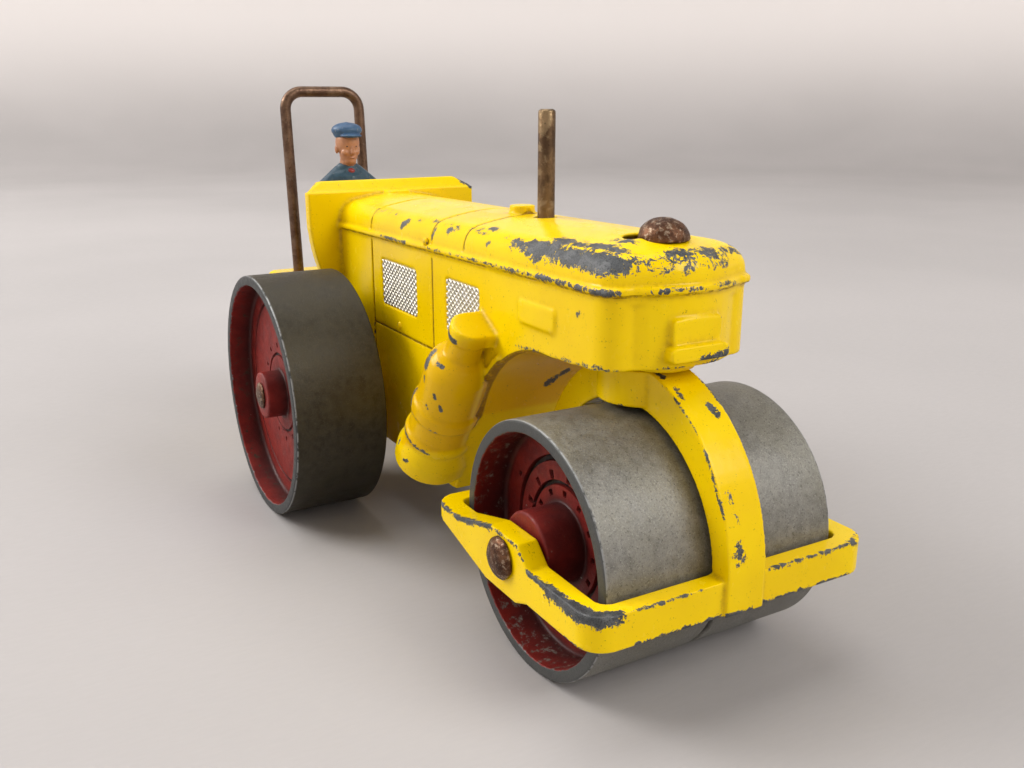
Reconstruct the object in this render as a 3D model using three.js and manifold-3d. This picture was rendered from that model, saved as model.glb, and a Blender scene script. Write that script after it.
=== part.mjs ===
// Die-cast toy road roller: a body casting on two large rear wheels, with a steered front fork
// that carries a pair of wide steel-look rollers inside a ring frame.
//
// Units are millimetres. +X is forward, +Y is the vehicle's left and +Z is up.
// Each part is drawn about the ground point straight below the kingpin that the front fork turns
// on, and the finished group is then moved so that its origin is on the ground under its middle.
import * as THREE from 'three';
import { ConvexGeometry } from 'three/addons/geometries/ConvexGeometry.js';
import { mergeVertices } from 'three/addons/utils/BufferGeometryUtils.js';
import Module from 'manifold-3d';

const wasm = await Module();
wasm.setup();

// ---------- Driving dimensions ----------

const ROLLER = {
  radius: 13, rimInner: 11.7, outerFace: 13.6, innerFace: 0.3, web: 9.6, webThick: 1.6,
  hub: 4, hubEnd: 14, axleX: -1.7, grooved: true,
};
const WHEEL = {
  radius: 16.44, rimInner: 15.1, outerFace: 25.1, innerFace: 13, web: 21.9, webThick: 1.6,
  hub: 3.2, hubEnd: 24.7, axleX: -55.1, grooved: false,
};
const PIN = { radius: 1.2, bore: 1.4 };
const FRONT_HEAD = { radius: 1.9, height: 1.05 };
const REAR_HEAD = { radius: 1.75, height: 0.4 };

const FRAME = {
  halfWidth: 16.7, bar: 2.4, front: 15.45, endBar: 2.05, bottom: 10.1, rearBottom: 11.8, top: 13.6,
  pinBottom: 9.3, pinTop: 15.5, corner: 2.6,
};
const FORK = {
  halfWidth: 2.25, arcInner: 13.6, spanX: 15.9, spanZ: 17.7, top: 30.3,
  bossX: -2.6, bossRadius: 4.5, bossBottom: 26.6,
};
const KINGPIN = {
  radius: 1.6, bore: 1.8, domeRadius: 2.3, domeBase: 43.05, domeHeight: 1.95,
  spreadRadius: 1.95, spreadHeight: 1.1, spreadPocket: 2.1, pocketDepth: 1.4,
  slot: { x: -1.7, y: -1.5, radius: 1.6, depth: 1.4 },
};

const BONNET = {
  halfWidth: 8.6, noseX: 5.4, noseBow: 1.8, corner: 2.8, rearX: -66, wall: 1.3,
  underNose: 31.6, beadZ: 38.7, topZ: 43.1, shoulder: 2.6, crown: 0.8, rake: 0.016,
};
const ARCH = { x: -7.5, z: 15.3, radius: 15.4, footX: -28, tangent: 0.44 };
const BODY_BOTTOM = 9;
const FLOOR = { bottom: 17.6, top: 20, halfWidth: 12, rearX: -97.6, wall: 1.3, sideTop: 27 };
const COWL = { x: -64.8, thick: 1.8, halfWidth: 13.3, lipZ: 41.9, topZ: 44, hoodX: -68.4 };
const CANISTER = { x: -19.2, y: -10.9, z: 31.2, lean: 31, radius: 3.8, skirtRadius: 4.55 };
const CHIMNEY = { x: -21.2, radius: 0.97, top: 54.4, socket: 1.27, socketDepth: 2.2 };
const HOOP = {
  footX: -93.2, topX: -95.2, footZ: 24.2, topZ: 56.8, halfWidth: 6.6, wire: 0.9, bend: 3, socket: 1.2,
};
const DRIVER = { x: -84.2, seatZ: 27.2, headZ: 48.5, headRadius: 2.2 };
const REAR_BOX = { frontX: -88.2, halfWidth: 11, top: 26.4 };
const SEAT = { length: 3.4, halfWidth: 4.6 };
const AXLE_BOSS = { radius: 3.4, halfWidth: 12.6 };
const SOCKET_PAD = 2.4;

const GRILLES = [
  { x0: -49.6, x1: -38.2, z0: 28.6, z1: 35 },
  { x0: -29.9, x1: -21.3, z0: 28.8, z1: 35.4 },
];
const PANEL_LINES = [-52.9, -33.5];
const LID_SEAMS = [-52.9, -33.5, -24.9];
const NOSE_PLATE = { halfWidth: 2.9, bottom: 33.9, top: 36.2, proud: 0.3 };
const NOSE_LUG = { halfWidth: 3.4, bottom: 32.2, top: 33.7, proud: 0.9 };
const SIDE_PLATE = { x0: -12.3, x1: -5.4, bottom: 33.4, top: 35.7, proud: 0.25 };
const FILLER_BOSS = { x: -26.5, radius: 1.5, proud: 0.5 };
const SEAM = { width: 0.46, depth: 0.36 };

const ROUND = { wheel: 44, pin: 16, canister: 40, dome: 24, boss: 40, strap: 26, arch: 10, nose: 10 };

// ---------- Solids ----------

// A manifold solid from a closed three.js geometry.
function solid(geometry) {
  const bare = geometry.clone();
  bare.deleteAttribute('normal');
  bare.deleteAttribute('uv');
  const merged = mergeVertices(bare, 1e-4);
  const index = merged.index.array;
  const triangles = [];
  for (let i = 0; i < index.length; i += 3) {
    const [a, b, c] = [index[i], index[i + 1], index[i + 2]];
    if (a !== b && b !== c && c !== a) triangles.push(a, b, c);
  }
  return new wasm.Manifold(new wasm.Mesh({
    numProp: 3,
    vertProperties: new Float32Array(merged.attributes.position.array),
    triVerts: new Uint32Array(triangles),
  }));
}

// The three.js geometry of a manifold solid.
function geometryOf(manifold) {
  const mesh = manifold.getMesh();
  const geometry = new THREE.BufferGeometry();
  geometry.setAttribute('position', new THREE.BufferAttribute(mesh.vertProperties, 3));
  geometry.setIndex(new THREE.BufferAttribute(mesh.triVerts, 1));
  geometry.computeVertexNormals();
  return geometry;
}

const join = (...parts) => parts.reduce((whole, part) => whole.add(part));
const cut = (body, ...tools) => tools.reduce((whole, tool) => whole.subtract(tool), body);

// The main body of a casting, without any pinhole closed in between its joined pieces.
function mainBody(manifold) {
  return manifold.decompose().reduce((best, piece) => (piece.volume() > best.volume() ? piece : best));
}

// A box between two opposite corners.
function box(x0, x1, y0, y1, z0, z1) {
  const geometry = new THREE.BoxGeometry(x1 - x0, y1 - y0, z1 - z0);
  geometry.translate((x0 + x1) / 2, (y0 + y1) / 2, (z0 + z1) / 2);
  return solid(geometry);
}

// An outline drawn in X and Z, extruded from y0 to y1.
function prismY(shape, y0, y1, curveSegments = 12) {
  const geometry = new THREE.ExtrudeGeometry(shape, { depth: y1 - y0, bevelEnabled: false, curveSegments });
  geometry.rotateX(Math.PI / 2);
  geometry.translate(0, y1, 0);
  return solid(geometry);
}

// An outline drawn in X and Y, extruded from z0 to z1.
function prismZ(shape, z0, z1, curveSegments = 12) {
  const geometry = new THREE.ExtrudeGeometry(shape, { depth: z1 - z0, bevelEnabled: false, curveSegments });
  geometry.translate(0, 0, z0);
  return solid(geometry);
}

// An outline drawn in Y and Z, extruded from x0 to x1.
function prismX(shape, x0, x1, curveSegments = 12) {
  const geometry = new THREE.ExtrudeGeometry(shape, { depth: x1 - x0, bevelEnabled: false, curveSegments });
  geometry.rotateY(Math.PI / 2);
  geometry.rotateX(Math.PI / 2);
  geometry.translate(x0, 0, 0);
  return solid(geometry);
}

// A turned solid: profile points are [radius, height] along an axis that points up +Z.
function turned(profile, segments) {
  const geometry = new THREE.LatheGeometry(profile.map(([r, h]) => new THREE.Vector2(r, h)), segments);
  geometry.rotateX(Math.PI / 2);
  return solid(geometry);
}

const rod = (radius, z0, z1, segments = ROUND.pin) => turned(
  [[0, z0], [radius, z0], [radius, z1], [0, z1]], segments);

// Turns a solid that stands along +Z so that it lies along Y, pointing to the given side.
const alongY = (manifold, side) => manifold.rotate([side > 0 ? -90 : 90, 0, 0]);

// A low domed head that stands on height z0.
function dome(radius, height, z0, segments = ROUND.dome) {
  const sphere = (radius * radius + height * height) / (2 * height);
  const half = Math.asin(Math.min(1, radius / sphere));
  const steps = 4;
  const profile = [[0, z0 - 0.01], [radius, z0 - 0.01]];
  for (let i = 0; i < steps; i += 1) {
    const angle = half * (1 - i / steps);
    profile.push([sphere * Math.sin(angle), z0 + height - sphere + sphere * Math.cos(angle)]);
  }
  profile.push([0, z0 + height]);
  return turned(profile, segments);
}

function polygon(points) {
  return new THREE.Shape(points.map(([u, v]) => new THREE.Vector2(u, v)));
}

// A rectangle with rounded corners.
function roundedRectangle(u0, u1, v0, v1, radius) {
  const shape = new THREE.Shape();
  shape.moveTo(u0 + radius, v0);
  shape.lineTo(u1 - radius, v0);
  shape.absarc(u1 - radius, v0 + radius, radius, -Math.PI / 2, 0);
  shape.lineTo(u1, v1 - radius);
  shape.absarc(u1 - radius, v1 - radius, radius, 0, Math.PI / 2);
  shape.lineTo(u0 + radius, v1);
  shape.absarc(u0 + radius, v1 - radius, radius, Math.PI / 2, Math.PI);
  shape.lineTo(u0, v0 + radius);
  shape.absarc(u0 + radius, v0 + radius, radius, Math.PI, 1.5 * Math.PI);
  return shape;
}

// ---------- Rollers, wheels and their axles ----------

// A roller or wheel: a wide rim on a recessed web with a long tubular hub, its axis along Y.
function rollingDrum(drum, side) {
  const { radius, rimInner, outerFace, innerFace, web, webThick, hub, hubEnd, grooved } = drum;
  const edge = 0.35;
  const ring = { inner: 8.3, outer: 8.9, deep: 0.4 };
  const groove = [
    [ring.inner, web], [ring.inner, web - ring.deep], [ring.outer, web - ring.deep], [ring.outer, web],
  ];
  const profile = [
    [PIN.bore, hubEnd], [hub - edge, hubEnd], [hub, hubEnd - edge], [hub, web],
    ...(grooved ? groove : []),
    [rimInner, web], [rimInner, outerFace], [radius - edge, outerFace], [radius, outerFace - edge],
    [radius, innerFace + edge], [radius - edge, innerFace], [rimInner, innerFace],
    [rimInner, web - webThick], [hub, web - webThick], [hub, innerFace], [PIN.bore, innerFace],
    [PIN.bore, hubEnd],
  ].reverse();
  return alongY(turned(profile, ROUND.wheel), side).translate([drum.axleX, 0, radius]);
}

// An axle pin through both sides, with a domed head at each end.
function axlePin(halfLength, head, x, z) {
  const shank = rod(PIN.radius, -halfLength - 0.2, halfLength + 0.2);
  const cap = dome(head.radius, head.height, halfLength);
  return alongY(join(shank, cap, cap.mirror([0, 0, 1])), 1).translate([x, 0, z]);
}

// ---------- Front fork ----------

// The side view of the strap that arches over the rollers.
function strapOutline() {
  const { spanX, spanZ, arcInner } = FORK;
  const foot = FRAME.bottom - ROLLER.radius;
  const shape = new THREE.Shape();
  shape.moveTo(spanX, foot);
  shape.lineTo(spanX, 0);
  shape.absellipse(0, 0, spanX, spanZ, 0, Math.PI);
  shape.lineTo(-spanX, foot);
  shape.lineTo(-arcInner, foot);
  shape.lineTo(-arcInner, 0);
  shape.absarc(0, 0, arcInner, Math.PI, 0, true);
  shape.lineTo(arcInner, foot);
  return shape;
}

// The side view of the ring frame: it deepens round the axle pin and tapers to the rear bar.
function frameSideView() {
  const { front, bottom, rearBottom, top, pinBottom, pinTop } = FRAME;
  return polygon([
    [-front - 1, rearBottom], [-front + 2, rearBottom], [-3.5, pinBottom], [2.6, pinBottom],
    [4.6, bottom], [front + 1, bottom], [front + 1, top], [4.8, top], [2.8, pinTop], [-2.4, pinTop],
    [-9.5, top], [-front - 1, top],
  ]);
}

function frontFork() {
  const { halfWidth, bar, front, endBar, corner } = FRAME;
  const outside = roundedRectangle(-front, front, -halfWidth, halfWidth, corner);
  const inside = roundedRectangle(-front + endBar, front - endBar, -halfWidth + bar, halfWidth - bar, 1);
  const ring = cut(prismZ(outside, 5, 20, 9), prismZ(inside, 4, 21, 7))
    .intersect(prismY(frameSideView(), -20, 20));
  const strap = prismY(strapOutline(), -FORK.halfWidth, FORK.halfWidth, ROUND.strap)
    .translate([0, 0, ROLLER.radius]);
  const pinHole = alongY(rod(PIN.bore, -halfWidth - 2, halfWidth + 2), 1).translate([0, 0, ROLLER.radius]);
  const base = cut(join(ring, strap), pinHole).translate([ROLLER.axleX, 0, 0]);
  const boss = rod(FORK.bossRadius, FORK.bossBottom, FORK.top + 1, ROUND.boss)
    .translate([FORK.bossX, 0, 0]);
  const aboveTop = box(-20, 20, -20, 20, FORK.top, 40);
  const kingpinHole = rod(KINGPIN.bore, 20, 40);
  const pocket = rod(KINGPIN.spreadPocket, 20, FORK.bossBottom + KINGPIN.pocketDepth);
  return cut(join(base, boss), aboveTop, kingpinHole, pocket);
}

// The rivet that the fork turns on: a domed head on the bonnet and a spread end in the fork's boss.
function kingpinRivet() {
  const end = FORK.bossBottom + 0.1;
  const shank = rod(KINGPIN.radius, end, KINGPIN.domeBase + 0.2);
  const head = dome(KINGPIN.domeRadius, KINGPIN.domeHeight, KINGPIN.domeBase);
  return join(shank, head, rod(KINGPIN.spreadRadius, end, end + KINGPIN.spreadHeight));
}

// ---------- Body casting ----------

// The plan of the bonnet: straight sides, tight front corners and a gently bowed nose.
function bonnetPlan(grow = 0) {
  const { halfWidth, noseX, noseBow, corner, rearX } = BONNET;
  const side = halfWidth + grow;
  const front = noseX - noseBow + grow;
  const shape = new THREE.Shape();
  shape.moveTo(rearX, -side);
  shape.lineTo(front - corner, -side);
  shape.quadraticCurveTo(front - 0.1, -side, front, -side + corner);
  shape.quadraticCurveTo(noseX + noseBow + grow, 0, front, side - corner);
  shape.quadraticCurveTo(front - 0.1, side, front - corner, side);
  shape.lineTo(rearX, side);
  return shape;
}

// Raises a solid towards the front: the lid and its bead fall a little towards the rear.
function raked(manifold) {
  return manifold.warp((vertex) => {
    vertex[2] += BONNET.rake * vertex[0];
  });
}

// The bonnet's top: upright edges, rounded shoulders on the sides and nose, and a crowned top.
function lidBlank() {
  const { noseX, rearX, beadZ, topZ, shoulder, crown } = BONNET;
  const edge = topZ - crown;
  const points = [];
  const addOutline = (inset, z) => {
    for (const { x, y } of bonnetPlan(-inset).getPoints(ROUND.nose)) {
      points.push(new THREE.Vector3(x, y, z));
    }
  };
  addOutline(0, beadZ - 1);
  const steps = 6;
  for (let i = 0; i <= steps; i += 1) {
    const angle = (i / steps) * (Math.PI / 2);
    addOutline(shoulder * (1 - Math.cos(angle)), edge - shoulder * (1 - Math.sin(angle)));
  }
  for (const x of [noseX - shoulder - 3, rearX]) {
    for (const [y, z] of [[0, topZ], [2.4, topZ - crown * 0.18], [4.6, topZ - crown * 0.6]]) {
      points.push(new THREE.Vector3(x, y, z), new THREE.Vector3(x, -y, z));
    }
  }
  return solid(new ConvexGeometry(points));
}

function bonnetLid() {
  const { halfWidth, beadZ, topZ } = BONNET;
  const bead = prismZ(bonnetPlan(0.4), beadZ - 0.3, beadZ + 0.4, ROUND.nose);
  const seams = LID_SEAMS.map((x) => cut(
    box(x - SEAM.width / 2, x + SEAM.width / 2, -12, 12, beadZ, 50),
    box(x - 1, x + 1, -halfWidth + SEAM.depth, halfWidth - SEAM.depth, 30, topZ - 1.3)));
  return raked(join(cut(lidBlank(), ...seams), bead));
}

// The side view of everything below the lid, with the arch that clears the front rollers.
function sidePlateOutline() {
  const { noseX, rearX, underNose, beadZ } = BONNET;
  const shape = new THREE.Shape();
  shape.moveTo(noseX + 2, underNose);
  shape.lineTo(noseX + 2, beadZ);
  shape.lineTo(rearX - 2, beadZ - 1.2);
  shape.lineTo(rearX - 2, BODY_BOTTOM);
  shape.lineTo(ARCH.footX, BODY_BOTTOM);
  shape.absarc(ARCH.x, ARCH.z, ARCH.radius, Math.PI - ARCH.tangent, Math.PI / 2, true);
  return shape;
}

// A slim raised bead along the rear of the arch, on both side plates.
function archBead(side) {
  const width = 0.9;
  const setBack = 0.1;
  const start = Math.PI - ARCH.tangent;
  const end = Math.PI / 2 + 0.6;
  const outline = new THREE.Shape();
  outline.moveTo(ARCH.footX - width, BODY_BOTTOM);
  outline.absarc(ARCH.x, ARCH.z, ARCH.radius + width, start, end, true);
  outline.absarc(ARCH.x, ARCH.z, ARCH.radius + setBack, end, start);
  outline.lineTo(ARCH.footX - setBack, BODY_BOTTOM);
  const face = side * (BONNET.halfWidth - 0.5);
  const proud = side * (BONNET.halfWidth + 0.42);
  return prismY(outline, Math.min(face, proud), Math.max(face, proud), ROUND.arch);
}

// The curved upright shield in front of the driver, and the sloping hood along its top.
function cowl() {
  const { x, thick, halfWidth, lipZ, topZ, hoodX } = COWL;
  const foot = 11.6;
  const face = new THREE.Shape();
  face.moveTo(-foot, FLOOR.bottom);
  face.lineTo(foot, FLOOR.bottom);
  face.lineTo(foot + 0.1, 30.4);
  face.quadraticCurveTo(halfWidth - 0.2, 34, halfWidth, 38.5);
  face.lineTo(halfWidth, lipZ + 0.6);
  face.lineTo(-halfWidth, lipZ + 0.6);
  face.lineTo(-halfWidth, 38.5);
  face.quadraticCurveTo(-halfWidth + 0.2, 34, -foot - 0.1, 30.4);
  const corners = [];
  for (const side of [-1, 1]) {
    for (const [cornerX, y, z] of [
      [x, halfWidth - 0.5, lipZ], [x - 0.5, halfWidth, lipZ + 0.7], [x - 2, halfWidth - 2.4, topZ],
      [hoodX, halfWidth - 2.4, topZ - 0.2], [hoodX, halfWidth - 1.6, topZ - 1.5],
      [x - thick, halfWidth, lipZ - 0.8], [x, halfWidth, lipZ - 0.8],
    ]) corners.push(new THREE.Vector3(cornerX, side * y, z));
  }
  return join(prismX(face, x - thick, x, 8), solid(new ConvexGeometry(corners)));
}

// The driver's footplate with its low side walls, seat and the tank box across the tail.
function platform() {
  const { bottom, top, halfWidth, rearX, wall, sideTop } = FLOOR;
  const front = COWL.x - 0.5;
  const floor = box(rearX, front, -halfWidth, halfWidth, bottom, top);
  const sides = [-1, 1].map((side) => {
    const outer = side * halfWidth;
    const inner = side * (halfWidth - wall);
    return box(REAR_BOX.frontX, front, Math.min(outer, inner), Math.max(outer, inner), bottom, sideTop);
  });
  const tail = roundedRectangle(-REAR_BOX.halfWidth, REAR_BOX.halfWidth, bottom - 3, REAR_BOX.top, 1.2);
  const seat = box(REAR_BOX.frontX - 0.5, DRIVER.x + SEAT.length, -SEAT.halfWidth, SEAT.halfWidth,
    top - 0.5, DRIVER.seatZ - 1);
  return join(floor, ...sides, prismX(tail, rearX, REAR_BOX.frontX, 4), seat);
}

// The inclined air-cleaner canister on the right side, with its bands, neck and outlet elbow.
function canister() {
  const { x, y, z, lean, radius, skirtRadius } = CANISTER;
  const band = radius + 0.35;
  const neck = 2.05;
  const cap = 2.25;
  const profile = [
    [0, -21.8], [skirtRadius - 0.7, -21.8], [skirtRadius, -21.2], [skirtRadius, -19.2],
    [radius + 0.1, -17], [band, -16.8], [band, -16], [radius, -15.7], [radius, -13],
    [band, -12.7], [band, -11.2], [radius, -10.9], [radius, -5.9],
    [radius - 0.3, -4.8], [radius - 0.9, -3.9], [neck, -3.3], [neck, 0.4], [0, 0.4],
  ];
  const can = turned(profile, ROUND.canister);
  const elbow = new THREE.Shape();
  elbow.moveTo(-cap, -5);
  elbow.lineTo(cap, -5);
  elbow.lineTo(cap, 0);
  elbow.absarc(0, 0, cap, 0, Math.PI);
  const outlet = prismZ(elbow, -0.9, 0.8, 8).rotate([0, 0, 180]);
  return join(can, outlet).rotate([0, lean, 0]).translate([x, y, z]);
}

// Plates, pockets and lugs that are cast into the side plates and nose.
function castDetails() {
  const side = BONNET.halfWidth;
  const outline = ({ halfWidth, bottom, top }, corner) => roundedRectangle(
    -halfWidth, halfWidth, bottom, top, corner);
  const sidePlate = roundedRectangle(
    SIDE_PLATE.x0, SIDE_PLATE.x1, SIDE_PLATE.bottom, SIDE_PLATE.top, 0.4);
  const inside = BONNET.noseX - 2;
  const cowlLug = box(COWL.x - 1.2, COWL.x + 2.4, -1.7, 1.7, BONNET.topZ - 3.1, BONNET.topZ - 0.6);
  const kingpinPad = rod(3.6, FORK.top + 0.2, BONNET.underNose + 1, ROUND.boss);
  return [
    prismX(outline(NOSE_PLATE, 0.4), inside, BONNET.noseX + NOSE_PLATE.proud, 3),
    prismX(outline(NOSE_LUG, 0.6), inside, BONNET.noseX + NOSE_LUG.proud, 3),
    prismY(sidePlate, -side - SIDE_PLATE.proud, -side + 0.5, 3),
    prismY(sidePlate, side - 0.5, side + SIDE_PLATE.proud, 3),
    rod(FILLER_BOSS.radius, 40, BONNET.topZ + FILLER_BOSS.proud, 20).translate([FILLER_BOSS.x, 0, 0]),
    cowlLug,
    kingpinPad,
  ];
}

// Shallow pockets behind the side grilles and the panel lines below the lid.
function sideRecesses() {
  const face = BONNET.halfWidth;
  const recesses = [];
  for (const side of [-1, 1]) {
    const outer = side * (face + 1);
    for (const { x0, x1, z0, z1 } of GRILLES) {
      const inner = side * (face - 0.35);
      const outline = roundedRectangle(x0, x1, z0, z1, 0.7);
      recesses.push(prismY(outline, Math.min(outer, inner), Math.max(outer, inner), 3));
    }
    const groove = side * (face - SEAM.depth);
    for (const x of PANEL_LINES) {
      recesses.push(box(x - SEAM.width / 2, x + SEAM.width / 2,
        Math.min(outer, groove), Math.max(outer, groove), BODY_BOTTOM + 1, BONNET.beadZ - 1.6));
    }
    recesses.push(box(PANEL_LINES[0], PANEL_LINES[1],
      Math.min(outer, groove), Math.max(outer, groove), 25.4, 25.8));
  }
  return recesses;
}

// The hollow underside behind the arch.
function underBonnet() {
  const { halfWidth, wall, rearX, topZ } = BONNET;
  const bay = polygon([
    [ARCH.footX - 1.6, BODY_BOTTOM - 1], [-24.4, 21], [-19.5, 28.6], [-11.5, 33], [-11.5, topZ - 2.6],
    [rearX + 3, topZ - 3.4], [rearX + 3, BODY_BOTTOM - 1],
  ]);
  return prismY(bay, -halfWidth + wall, halfWidth - wall);
}

function bodyCasting() {
  const lower = prismZ(bonnetPlan(), BODY_BOTTOM, BONNET.beadZ, ROUND.nose)
    .intersect(prismY(sidePlateOutline(), -20, 20, ROUND.arch));
  const axleBosses = alongY(rod(AXLE_BOSS.radius, -AXLE_BOSS.halfWidth, AXLE_BOSS.halfWidth, ROUND.dome), 1)
    .translate([WHEEL.axleX, 0, WHEEL.radius]);
  const bonnet = cut(join(lower, bonnetLid()), ...sideRecesses());
  const outer = join(
    bonnet, archBead(-1), archBead(1), cowl(), platform(), canister(), axleBosses, ...castDetails());
  const shell = cut(outer, underBonnet());
  const { slot } = KINGPIN;
  const kingpinSleeve = join(
    rod(KINGPIN.bore, 20, 50),
    rod(slot.radius, KINGPIN.domeBase - slot.depth, 50).translate([slot.x, slot.y, 0]));
  const chimneySocket = rod(CHIMNEY.socket, BONNET.topZ - CHIMNEY.socketDepth, 50)
    .translate([CHIMNEY.x, 0, 0]);
  const hoopSockets = [-1, 1].map((side) => rod(HOOP.socket, HOOP.footZ - 0.3, 40)
    .translate([HOOP.footX, side * HOOP.halfWidth, 0]));
  const hoopPads = [-1, 1].map((side) => rod(SOCKET_PAD, HOOP.footZ - 1.5, REAR_BOX.top - 0.5)
    .translate([HOOP.footX, side * HOOP.halfWidth, 0]));
  const chimneyPad = rod(SOCKET_PAD, BONNET.topZ - 4.4, BONNET.topZ - 1.5).translate([CHIMNEY.x, 0, 0]);
  const axleHole = alongY(rod(PIN.bore, -15, 15), 1).translate([WHEEL.axleX, 0, WHEEL.radius]);
  return mainBody(
    cut(join(shell, chimneyPad, ...hoopPads), kingpinSleeve, chimneySocket, ...hoopSockets, axleHole));
}

// ---------- Small fitted pieces ----------

// The exhaust stack: a plain pin with a softened top edge.
function chimney() {
  const { x, radius, top, socketDepth } = CHIMNEY;
  const foot = BONNET.topZ - socketDepth + 0.2;
  const profile = [[0, foot], [radius, foot], [radius, top - 0.25], [radius - 0.25, top], [0, top]];
  return turned(profile, ROUND.pin).translate([x, 0, 0]);
}

// The wire hoop behind the driver: one bent wire with both feet in the tail.
function wireHoop() {
  const { footX, topX, footZ, topZ, halfWidth, wire, bend } = HOOP;
  const at = (y, z) => {
    const rise = (z - REAR_BOX.top) / (topZ - REAR_BOX.top);
    return new THREE.Vector3(THREE.MathUtils.lerp(footX, topX, Math.max(0, rise)), y, z);
  };
  const path = new THREE.CurvePath();
  const leg = (side, from, to) => new THREE.LineCurve3(
    at(side * halfWidth, from), at(side * halfWidth, to));
  const corner = (side) => {
    const low = at(side * halfWidth, topZ - bend);
    const high = at(side * (halfWidth - bend), topZ);
    return side < 0
      ? new THREE.QuadraticBezierCurve3(low, at(-halfWidth, topZ), high)
      : new THREE.QuadraticBezierCurve3(high, at(halfWidth, topZ), low);
  };
  path.add(leg(-1, footZ, REAR_BOX.top));
  path.add(leg(-1, REAR_BOX.top, topZ - bend));
  path.add(corner(-1));
  path.add(new THREE.LineCurve3(at(-halfWidth + bend, topZ), at(halfWidth - bend, topZ)));
  path.add(corner(1));
  path.add(leg(1, topZ - bend, REAR_BOX.top));
  path.add(leg(1, REAR_BOX.top, footZ));
  const section = new THREE.Shape();
  section.absarc(0, 0, wire, 0, 2 * Math.PI);
  const geometry = new THREE.ExtrudeGeometry(section, { steps: 44, extrudePath: path, curveSegments: 5 });
  return solid(geometry);
}

// A ball, a little flattened or stretched along each axis.
function ball([x, y, z], [rx, ry, rz]) {
  const geometry = new THREE.SphereGeometry(1, 10, 6);
  geometry.scale(rx, ry, rz);
  geometry.translate(x, y, z);
  return solid(geometry);
}

// A straight limb between two points.
function limb(from, to, radius) {
  const start = new THREE.Vector3(...from);
  const axis = new THREE.Vector3(...to).sub(start);
  const geometry = new THREE.CylinderGeometry(radius * 0.9, radius, axis.length(), 8);
  geometry.translate(0, axis.length() / 2, 0);
  geometry.applyQuaternion(new THREE.Quaternion().setFromUnitVectors(
    new THREE.Vector3(0, 1, 0), axis.clone().normalize()));
  geometry.translate(start.x, start.y, start.z);
  return join(solid(geometry), ball(from, [radius, radius, radius]), ball(to, [radius, radius, radius]));
}

// The seated driver in a flat cap, with both hands forward on the knees.
function driverFigure() {
  const { x, seatZ, headZ, headRadius } = DRIVER;
  const hipZ = seatZ + 2.1;
  const shoulderZ = headZ - 5.4;
  const parts = [
    ball([x, 0, hipZ], [3.1, 3.7, 2.2]),
    limb([x, 0, hipZ + 1], [x + 0.3, 0, shoulderZ - 2.2], 3.1),
    ball([x + 0.2, 0, shoulderZ - 0.9], [2.5, 4.7, 2.3]),
    limb([x + 0.3, 0, shoulderZ], [x + 0.4, 0, headZ - 1.5], 1.6),
    ball([x + 0.5, 0, headZ], [headRadius + 0.2, headRadius, headRadius + 0.9]),
    ball([x + 0.4, 0, headZ + 2.1], [headRadius + 0.7, headRadius + 0.5, 1.35]),
  ];
  for (const side of [-1, 1]) {
    parts.push(limb([x + 0.4, side * 1.9, hipZ], [x + 7.6, side * 2.2, hipZ + 0.4], 1.6));
    parts.push(limb([x + 7.6, side * 2.2, hipZ + 0.4], [x + 8.2, side * 2.2, FLOOR.top + 1.8], 1.4));
    parts.push(limb([x + 0.2, side * 4.2, shoulderZ - 0.6], [x + 2.4, side * 4.7, shoulderZ - 6.4], 1.25));
    parts.push(limb([x + 2.4, side * 4.7, shoulderZ - 6.4], [x + 7.4, side * 3, hipZ + 3], 1.1));
  }
  return join(...parts);
}

// ---------- Assembly ----------

const PAINT = {
  yellow: { color: 0xf2c800, roughness: 0.3, metalness: 0 },
  zinc: { color: 0x77787a, roughness: 0.55, metalness: 0.8 },
  steel: { color: 0x5c4638, roughness: 0.5, metalness: 0.9 },
  brass: { color: 0x7a5a34, roughness: 0.4, metalness: 0.9 },
  driver: { color: 0x2e4a63, roughness: 0.5, metalness: 0 },
};

const roller = new THREE.Group();

function place(name, paint, manifold) {
  const mesh = new THREE.Mesh(geometryOf(manifold), new THREE.MeshStandardMaterial(paint));
  mesh.name = name;
  roller.add(mesh);
}

place('body_casting', PAINT.yellow, bodyCasting());
place('front_fork', PAINT.yellow, frontFork());
place('kingpin_rivet', PAINT.steel, kingpinRivet());
place('front_axle_pin', PAINT.steel,
  axlePin(FRAME.halfWidth + 0.05, FRONT_HEAD, ROLLER.axleX, ROLLER.radius));
place('rear_axle_pin', PAINT.steel, axlePin(WHEEL.hubEnd + 0.15, REAR_HEAD, WHEEL.axleX, WHEEL.radius));
for (const [name, side] of [['right', -1], ['left', 1]]) {
  place(`front_roller_${name}`, PAINT.zinc, rollingDrum(ROLLER, side));
  place(`rear_wheel_${name}`, PAINT.zinc, rollingDrum(WHEEL, side));
}
place('chimney_pin', PAINT.brass, chimney());
place('wire_hoop', PAINT.steel, wireHoop());
place('driver_figure', PAINT.driver, driverFigure());

const frontX = ROLLER.axleX + FORK.spanX;
roller.position.x = -(FLOOR.rearX + frontX) / 2;

export default roller;
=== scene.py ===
"""Looks for the die-cast toy road roller: worn yellow enamel over zinc, red-painted rollers,
oxidised pins and hoop, and a hand-painted driver, on a seamless pale sweep."""
import math

import bmesh
import bpy
import numpy as np
from mathutils import Matrix, Vector, noise


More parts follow.
